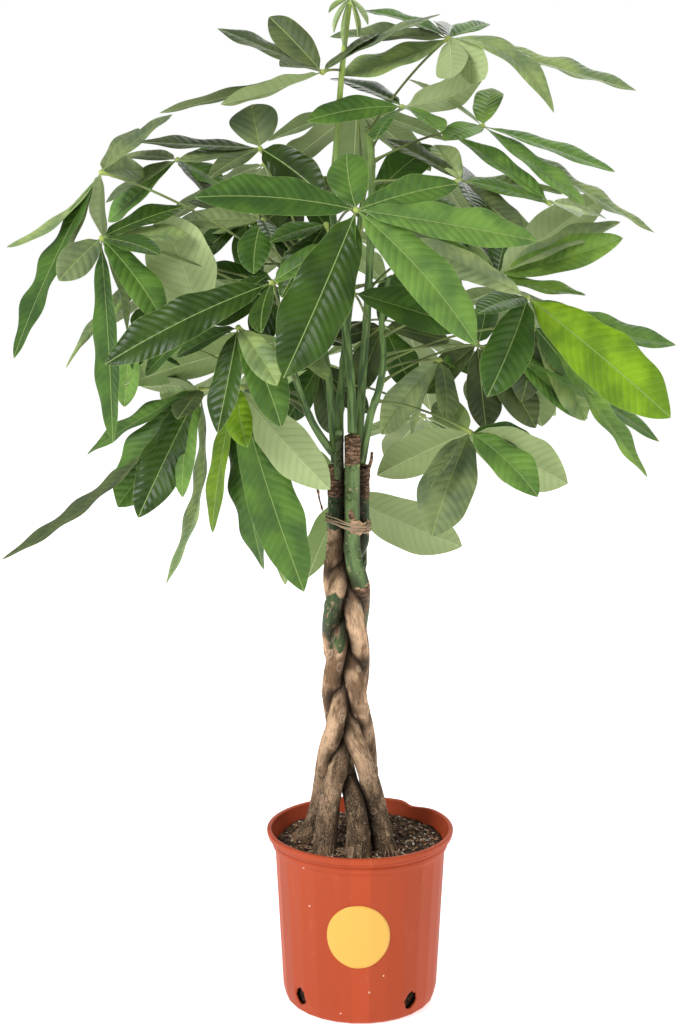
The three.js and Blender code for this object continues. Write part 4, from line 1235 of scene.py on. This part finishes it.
# Young leaf at the tip of the leader, its narrow leaflets still folded and hanging
YOUNG_HUB = (-13, 0, 1199)
YOUNG_LEAFLETS = ((-24, 0, -16), (-18, -5, -38), (-5, -9, -56), (9, -8, -43), (20, 3, -29))
YOUNG_WIDTH = 9
YOUNG_TONES = "SPSSP"

SHOOT_GREEN = (0.175, 0.285, 0.080)
SHOOT_DARK = (0.055, 0.110, 0.030)
SHOOT_YOUNG = (0.400, 0.540, 0.100)
STALK_OLIVE = (0.105, 0.130, 0.040)
STALK_GREEN = (0.200, 0.270, 0.070)
HUB_GREEN = (0.420, 0.520, 0.110)
SHOOT_ROUGHNESS = 0.5


def stalk_strand(start, hub):
    """A leaf's stalk from its shoot to just past its hub, arched upwards."""
    bend = start.lerp(hub, 0.5) + Vector((0, 0, STALK_LIFT * (hub - start).length))
    strand = []
    for k in range(STALK_STEPS + 1):
        t = k / STALK_STEPS
        point = start * (1 - t) ** 2 + bend * 2 * t * (1 - t) + hub * t * t
        foot = math.exp(-((t * STALK_STEPS / STALK_FOOT_STEPS) ** 2))
        near_hub = (1 - t) * (hub - start).length
        head = math.exp(-((near_hub / HUB_LENGTH) ** 2))
        radius = STALK_RADIUS + (STALK_FOOT - STALK_RADIUS) * foot + (HUB_RADIUS - STALK_RADIUS) * head
        tint = math.exp(-((near_hub / HUB_TINT_LENGTH) ** 2))
        strand.append((point, radius, {"stalk": 1, "near_hub": tint}))
    tip = hub + (hub - bend).normalized() * HUB_OVERRUN
    strand.append((tip, HUB_RADIUS * 0.75, {"stalk": 1, "near_hub": 1}))
    return round_ended(strand, STALK_ROUNDING)


def listed(leaves):
    """The leaves of a table, each with the line that it grows on."""
    return [{"on": line, "start": start, "hub": hub, "tones": tones, "leaflets": leaflets}
            for line, rows in leaves.items() for start, hub, tones, leaflets in rows]


def back_leaf(start, bearing, out, height, tones):
    """A leaf behind the plant, with its leaflets fanned round the outward direction."""
    leaflets = []
    for i in range(FAN_LEAFLETS):
        spread = (i - (FAN_LEAFLETS - 1) / 2) * FAN_STEP
        turn = math.radians(bearing + spread)
        inward = abs(spread) / 100
        length = mix(FAN_LONGEST, FAN_SHORTEST, inward)
        droop = math.radians(mix(*FAN_DROOPS, inward))
        level = length * math.cos(droop)
        leaflets.append((level * math.cos(turn), level * math.sin(turn), -length * math.sin(droop),
                         FAN_WIDTH * length, None))
    turn = math.radians(bearing)
    hub = (out * math.cos(turn), out * math.sin(turn), height)
    return {"on": "back", "start": start, "hub": hub, "tones": tones, "leaflets": leaflets}


all_leaves = listed(LEAVES) + [
    back_leaf(*leaf, BACK_TONES[number % len(BACK_TONES)]) for number, leaf in enumerate(BACK_LEAVES)]
inner_leaves = listed(INNER_LEAVES)
young_leaf = {"on": "leader", "hub": YOUNG_HUB, "tones": YOUNG_TONES, "young": True,
              "leaflets": [(*reach, YOUNG_WIDTH, 0.5) for reach in YOUNG_LEAFLETS]}

shoot_material, tree, shader = new_material("green_shoot", SHOOT_GREEN, SHOOT_ROUGHNESS)
on_shoot = painted(tree, "bark", "Vector")
streaks = noise(on_shoot, 220, 3, (1, 1, 0.12))
colour = blend(ease(streaks, 0.40, 0.60), SHOOT_GREEN, SHOOT_DARK)
colour = blend(ease(height_in(tree), 0.95, 1.15) * 0.8, colour, SHOOT_YOUNG)
colour = blend(painted(tree, "stalk"), colour, blend(ease(streaks, 0.4, 0.6), STALK_OLIVE, STALK_GREEN))
colour = blend(painted(tree, "near_hub") * 0.8, colour, HUB_GREEN)
finish(shader, colour, streaks, 0.0003, 0.5)

for name, shoot in SHOOTS.items():
    strands = []
    thick, thin = shoot["radii"]
    leaves = [leaf for leaf in all_leaves + inner_leaves if leaf["on"] in shoot["lines"]]
    for on, line in shoot["lines"].items():
        length = sum((Vector(b) - Vector(a)).length for a, b in zip(line, line[1:]))
        steps = round(length / SHOOT_STEP)
        joints = [leaf["start"] for leaf in leaves if leaf["on"] == on]
        strand = []
        for k in range(steps + 1):
            t = k / steps
            off = min((abs(t - joint) for joint in joints), default=1) * length
            radius = mix(thick, thin, t) + NODE_SWELLING * math.exp(-((off / NODE_LENGTH) ** 2))
            strand.append((curve_point(line, t), radius, {"stalk": 0, "near_hub": 0}))
        strands.append(round_ended(strand, SHOOT_ROUNDING))
    for leaf in leaves:
        start = curve_point(shoot["lines"][leaf["on"]], leaf["start"])
        strands.append(stalk_strand(start, Vector(leaf["hub"])))
    stalks = grown_strands("stalks_" + name, strands, shoot_material, SHOOT_SIDES, 0.0002, grain=300.0)
    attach(stalks, "root")
    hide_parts("leafy_shoot_" + name)

# Leaflets
# Thin leathery blades, pointed at both ends, folded a little along a pale midrib, with
# side veins that arch forward and sink between gentle swellings. They are glossy above
# and paler and dull below. A nodes tree lays one blade along the reach of each leaflet.
BLADE_ROWS = 46
BLADE_COLUMNS = 12
BLADE_START = 0.5
BLADE_THICK = 0.8
BLADE_FOLD = 0.16
BLADE_CROWN = 0.07
BLADE_SWEEP = 0.035
BLADE_TWIST = 0.22
FACE_UP = 0.8
FACE_OUT = 0.5
SIDE_OUT = 0.2
BLADE_RISE = 0.6
BLADE_FALL = 3.4
BLADE_POINT = 0.9
BLADE_PEAK = 0.664
BLADE_NECK = 0.14
STALK_WIDTH = 1.1
VEIN_CURVE = 9.0
WAVE_HEIGHT = 0.036
WAVE_LENGTH = 58
QUILT_HEIGHT = 0.6
VEIN_SPACING = 10.5
VEIN_RISE = 0.62
TONES = {
    "A": (0.018, 0.040, 0.003), "D": (0.029, 0.068, 0.005), "M": (0.048, 0.113, 0.013),
    "N": (0.078, 0.165, 0.024), "L": (0.130, 0.250, 0.046), "B": (0.195, 0.335, 0.055),
    "V": (0.105, 0.190, 0.005), "Y": (0.170, 0.310, 0.006), "K": (0.046, 0.064, 0.021),
    "G": (0.088, 0.120, 0.040), "H": (0.150, 0.200, 0.080), "S": (0.250, 0.340, 0.120),
    # T is paler than P: partly the pale underside, partly painted light shining through that one leaflet from
    # behind
    "P": (0.410, 0.510, 0.235), "T": (0.550, 0.660, 0.360),
}
GLOSS = {"A": 0.3, "D": 0.32, "M": 0.42, "N": 0.44}
DULL = 0.5
LEAF_SHINE = 0.28
TONE_SPREAD = 0.06
MIDRIB_PALE = (0.30, 0.41, 0.13)
UNDERSIDE_SAGE = (0.36, 0.45, 0.190)
UNDERSIDE_RIB = (0.60, 0.70, 0.340)
UNDERSIDE_ROUGHNESS = 0.65
MIDRIB_HALF = 0.68
MARGIN_HALF = 0.45
LEAF_SHADE = (0.66, 0.71, 0.82)
LEAF_LIGHT = (1.25, 1.22, 1.12)


def upper_side(along, hub, face):
    """The direction that a leaflet's upper side faces, square to its length."""
    def level(v):
        """The part of a direction that is square to the leaflet."""
        return (v - along * v.dot(along)).normalized()

    outward = Vector((hub.x, hub.y, 0)).normalized()
    if face is None:
        return level(Vector((0, 0, FACE_UP)) + outward * FACE_OUT)
    front = level((Vector(VIEWPOINT) - hub).normalized())
    side = along.cross(front).normalized()
    if side.z + SIDE_OUT * side.dot(outward) < 0:
        side = -side
    return (front * face + side * math.sqrt(1 - face * face)).normalized()


def leaflet_rows(leaves, draw):
    """What the blade of each leaflet is made from."""
    rows = []
    for leaf in leaves:
        hub = Vector(leaf["hub"])
        for (x, y, z, width, face, *bow), letter in zip(leaf["leaflets"], leaf["tones"]):
            reach = Vector((x, y, z))
            bright = 1 + draw.uniform(-TONE_SPREAD, TONE_SPREAD)
            young = leaf.get("young", False)
            rows.append({
                "hub": hub * MM, "reach": reach * MM, "up": upper_side(reach.normalized(), hub, face),
                "tone": Vector(TONES[letter]) * bright, "gloss": GLOSS.get(letter, DULL),
                "half_width": width / 2 * MM, "bow": bow[0] if bow else USUAL_BOW,
                "sweep": draw.uniform(-1, 1) * BLADE_SWEEP, "twist": draw.uniform(-1, 1) * BLADE_TWIST,
                "wave": (0.15 if young else draw.uniform(0.4, 1)) * WAVE_HEIGHT,
                "phase": draw.uniform(0, 6.28),
                "fold": 1.1 if young else BLADE_FOLD * draw.uniform(0.6, 1.5)})
    return rows


def leaflet_mesh(name, rows):
    """One point for each leaflet, at its hub, which carries its values."""
    mesh = bpy.data.meshes.new(name)
    mesh.from_pydata([tuple(row["hub"]) for row in rows], [], [])
    for key, first in rows[0].items():
        if isinstance(first, Vector):
            values = [number for row in rows for number in row[key]]
            mesh.attributes.new(key, "FLOAT_VECTOR", "POINT").data.foreach_set("vector", values)
        else:
            give_values(mesh, key, [row[key] for row in rows])
    return mesh


tree, given = new_tree("leaf_blades", {
    "Rows": "Int", "Columns": "Int", "Thickness": "Float", "Crown": "Float", "Wave Length": "Float",
    "Quilting": "Float", "Vein Spacing": "Float", "Stalk Width": "Float", "Top": "Material",
    "Underside": "Material"})
sheet = wire(tree, "GeometryNodeMeshGrid", {
    "Size X": 2.0, "Size Y": 1.0, "Vertices X": given["Columns"], "Vertices Y": given["Rows"]})
spot = wire(tree, "ShaderNodeSeparateXYZ", {0: wire(tree, "GeometryNodeInputPosition")})
along_share = Wire(spot.socket.node.outputs["Y"]) + 0.5
sheet = stored(tree, sheet, "across", spot)
sheet = stored(tree, sheet, "forward", along_share)
blades = wire(tree, "GeometryNodeInstanceOnPoints", {"Points": given["Geometry"], "Instance": sheet})
blades = wire(tree, "GeometryNodeRealizeInstances", {"Geometry": blades})

hub, reach, up = (attribute(tree, name, "FLOAT_VECTOR") for name in ("hub", "reach", "up"))
u, s = attribute(tree, "across"), attribute(tree, "forward")
lobe = abs(u)
length = reach.apply("LENGTH")
along = reach.apply("NORMALIZE")
side = along.apply("CROSS_PRODUCT", up)
turn = attribute(tree, "twist") * (s - 0.5)
side_now = side * turn.apply("COSINE") + up * turn.apply("SINE")
up_now = up * turn.apply("COSINE") - side * turn.apply("SINE")
arch = s * (1 - s) * 4
middle = hub + along * (BLADE_START * MM) + reach * s + up * (attribute(tree, "bow") * length * arch)
middle = middle + side * (attribute(tree, "sweep") * length * arch)
share = s ** BLADE_RISE * (1 - s ** BLADE_FALL) ** BLADE_POINT * (1 / BLADE_PEAK) * ease(s, 0.0, BLADE_NECK)
wave = (s * length / given["Wave Length"] * (2 * math.pi) + attribute(tree, "phase") + u * 1.3).apply("SINE")
wave = wave * attribute(tree, "wave")
half = attribute(tree, "half_width") * share * (wave * 1.5 + 1)
half = half.apply("MAXIMUM", given["Stalk Width"] * (1.02 - s))
from_rib = lobe * half
vein = (s * length - from_rib * VEIN_RISE - from_rib * from_rib * VEIN_CURVE) / given["Vein Spacing"]
swell = (vein * math.pi).apply("SINE")
swell = swell * swell - 0.5
lift = half * (lobe * attribute(tree, "fold") + (lobe * math.pi).apply("SINE") * given["Crown"])
lift = lift + wave * half * lobe * lobe * 3.0
lift = lift + swell * (1 - lobe) * lobe * 4 * share * given["Quilting"]
skin = given["Thickness"] * 0.5 * (1 - lobe ** 6) * ease(arch, 0.0, 0.04)
spread = middle + side_now * (u * half)
margin = ease(lobe, 0.999, 1.0) + ease(abs(s - 0.5), 0.499, 0.5)
for label, value in {"vein": vein, "rib": from_rib, "edge": half - from_rib, "margin": margin}.items():
    blades = stored(tree, blades, label, value)
sides = []
for rise in (lift + skin, lift - skin):
    place = spread + up_now * rise
    sides.append(wire(tree, "GeometryNodeSetPosition", {"Geometry": blades, "Position": place}))
top, below = sides
below = wire(tree, "GeometryNodeFlipFaces", {"Mesh": below})
joined = tree.nodes.new("GeometryNodeJoinGeometry")
for part, label in ((below, "Underside"), (top, "Top")):
    part = wire(tree, "GeometryNodeSetMaterial", {"Geometry": part, "Material": given[label]})
    feed(joined.inputs[0], part)
on_margin = attribute(tree, "margin").apply("GREATER_THAN", 0.5)
closed = wire(tree, "GeometryNodeMergeByDistance", {
    "Geometry": Wire(joined.outputs[0]), "Selection": on_margin, "Distance": 0.00001})
closed = wire(tree, "GeometryNodeSetShadeSmooth", {"Geometry": closed})
sharp = tree.nodes.new("GeometryNodeSetShadeSmooth")
sharp.domain = "EDGE"
feed(sharp.inputs["Geometry"], closed)
feed(sharp.inputs["Selection"], on_margin)
sharp.inputs["Shade Smooth"].default_value = False
tree.links.new(sharp.outputs[0], tree.nodes.new("NodeGroupOutput").inputs[0])
blade_tree = tree


def leaf_material(name, under):
    """The finish of a blade's upper side or of its underside."""
    material, tree, shader = new_material(name, TONES["M"], UNDERSIDE_ROUGHNESS, LEAF_SHINE)
    tone = painted(tree, "tone", "Color")
    place = object_place(tree)
    cloud = ease(noise(place, 30, 3), 0.32, 0.68)
    vein = painted(tree, "vein")
    rib = painted(tree, "rib")
    off_vein = abs((vein + 0.5).apply("FRACT") - 0.5)
    line = 1 - ease(off_vein, 0.015, 0.06)
    # Painted shading of the quilting: darker beside the veins underneath, lighter beside them above
    painted_vein_shading = 1 - ease(off_vein, 0.05, 0.4)
    midrib = 1 - ease(rib, 0.45 * MIDRIB_HALF * MM, 1.25 * MIDRIB_HALF * MM)
    edge = 1 - ease(painted(tree, "edge"), 0.4 * MARGIN_HALF * MM, 1.6 * MARGIN_HALF * MM)
    if under:
        colour = blend(cloud * 0.2 + 0.4, tone, UNDERSIDE_SAGE)
        # Painted shade beside the raised veins underneath
        colour = blend(painted_vein_shading * 0.25, colour, colour * 0.7)
        colour = blend(line * 0.3, colour, UNDERSIDE_RIB)
        colour = blend(midrib * 0.85, colour, UNDERSIDE_RIB)
        relief = line * 0.7 + midrib * 1.5
    else:
        colour = tone * blend(cloud, LEAF_SHADE, LEAF_LIGHT)
        # Painted light beside the veins on the upper side
        colour = blend(painted_vein_shading * 0.1, colour, colour * 1.45)
        colour = blend(line * 0.34, colour, colour * 1.7 + 0.02)
        colour = blend(midrib * 0.8, colour, MIDRIB_PALE)
        colour = blend(edge * 0.5, colour, MIDRIB_PALE)
        feed(shader.inputs["Roughness"], painted(tree, "gloss") + cloud * 0.08)
        relief = line * -0.4 - midrib * 0.6 + ease(off_vein, 0.0, 0.5) * 0.8
    finish(shader, colour, relief + noise(place, 420, 2) * 0.35, 0.0008, 0.75)
    return material


leaf_top = leaf_material("leaf_upper_side", under=False)
leaf_under = leaf_material("leaf_underside", under=True)
draw, inner_draw = random.Random(11), random.Random(31)
for name, shoot in SHOOTS.items():
    leaves = [leaf for leaf in all_leaves if leaf["on"] in shoot["lines"]]
    if name == "leader":
        leaves = leaves + [young_leaf]
    rows = leaflet_rows(leaves, draw)
    rows += leaflet_rows([leaf for leaf in inner_leaves if leaf["on"] in shoot["lines"]], inner_draw)
    blades = grown("leaflets_" + name, leaflet_mesh("leaflets_" + name, rows), blade_tree, {
        "Rows": BLADE_ROWS, "Columns": BLADE_COLUMNS + 1, "Thickness": BLADE_THICK * MM, "Crown": BLADE_CROWN,
        "Wave Length": WAVE_LENGTH * MM, "Quilting": QUILT_HEIGHT * MM, "Vein Spacing": VEIN_SPACING * MM,
        "Stalk Width": STALK_WIDTH * MM, "Top": leaf_top, "Underside": leaf_under})
    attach(blades, "root")
    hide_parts("leafy_shoot_" + name)
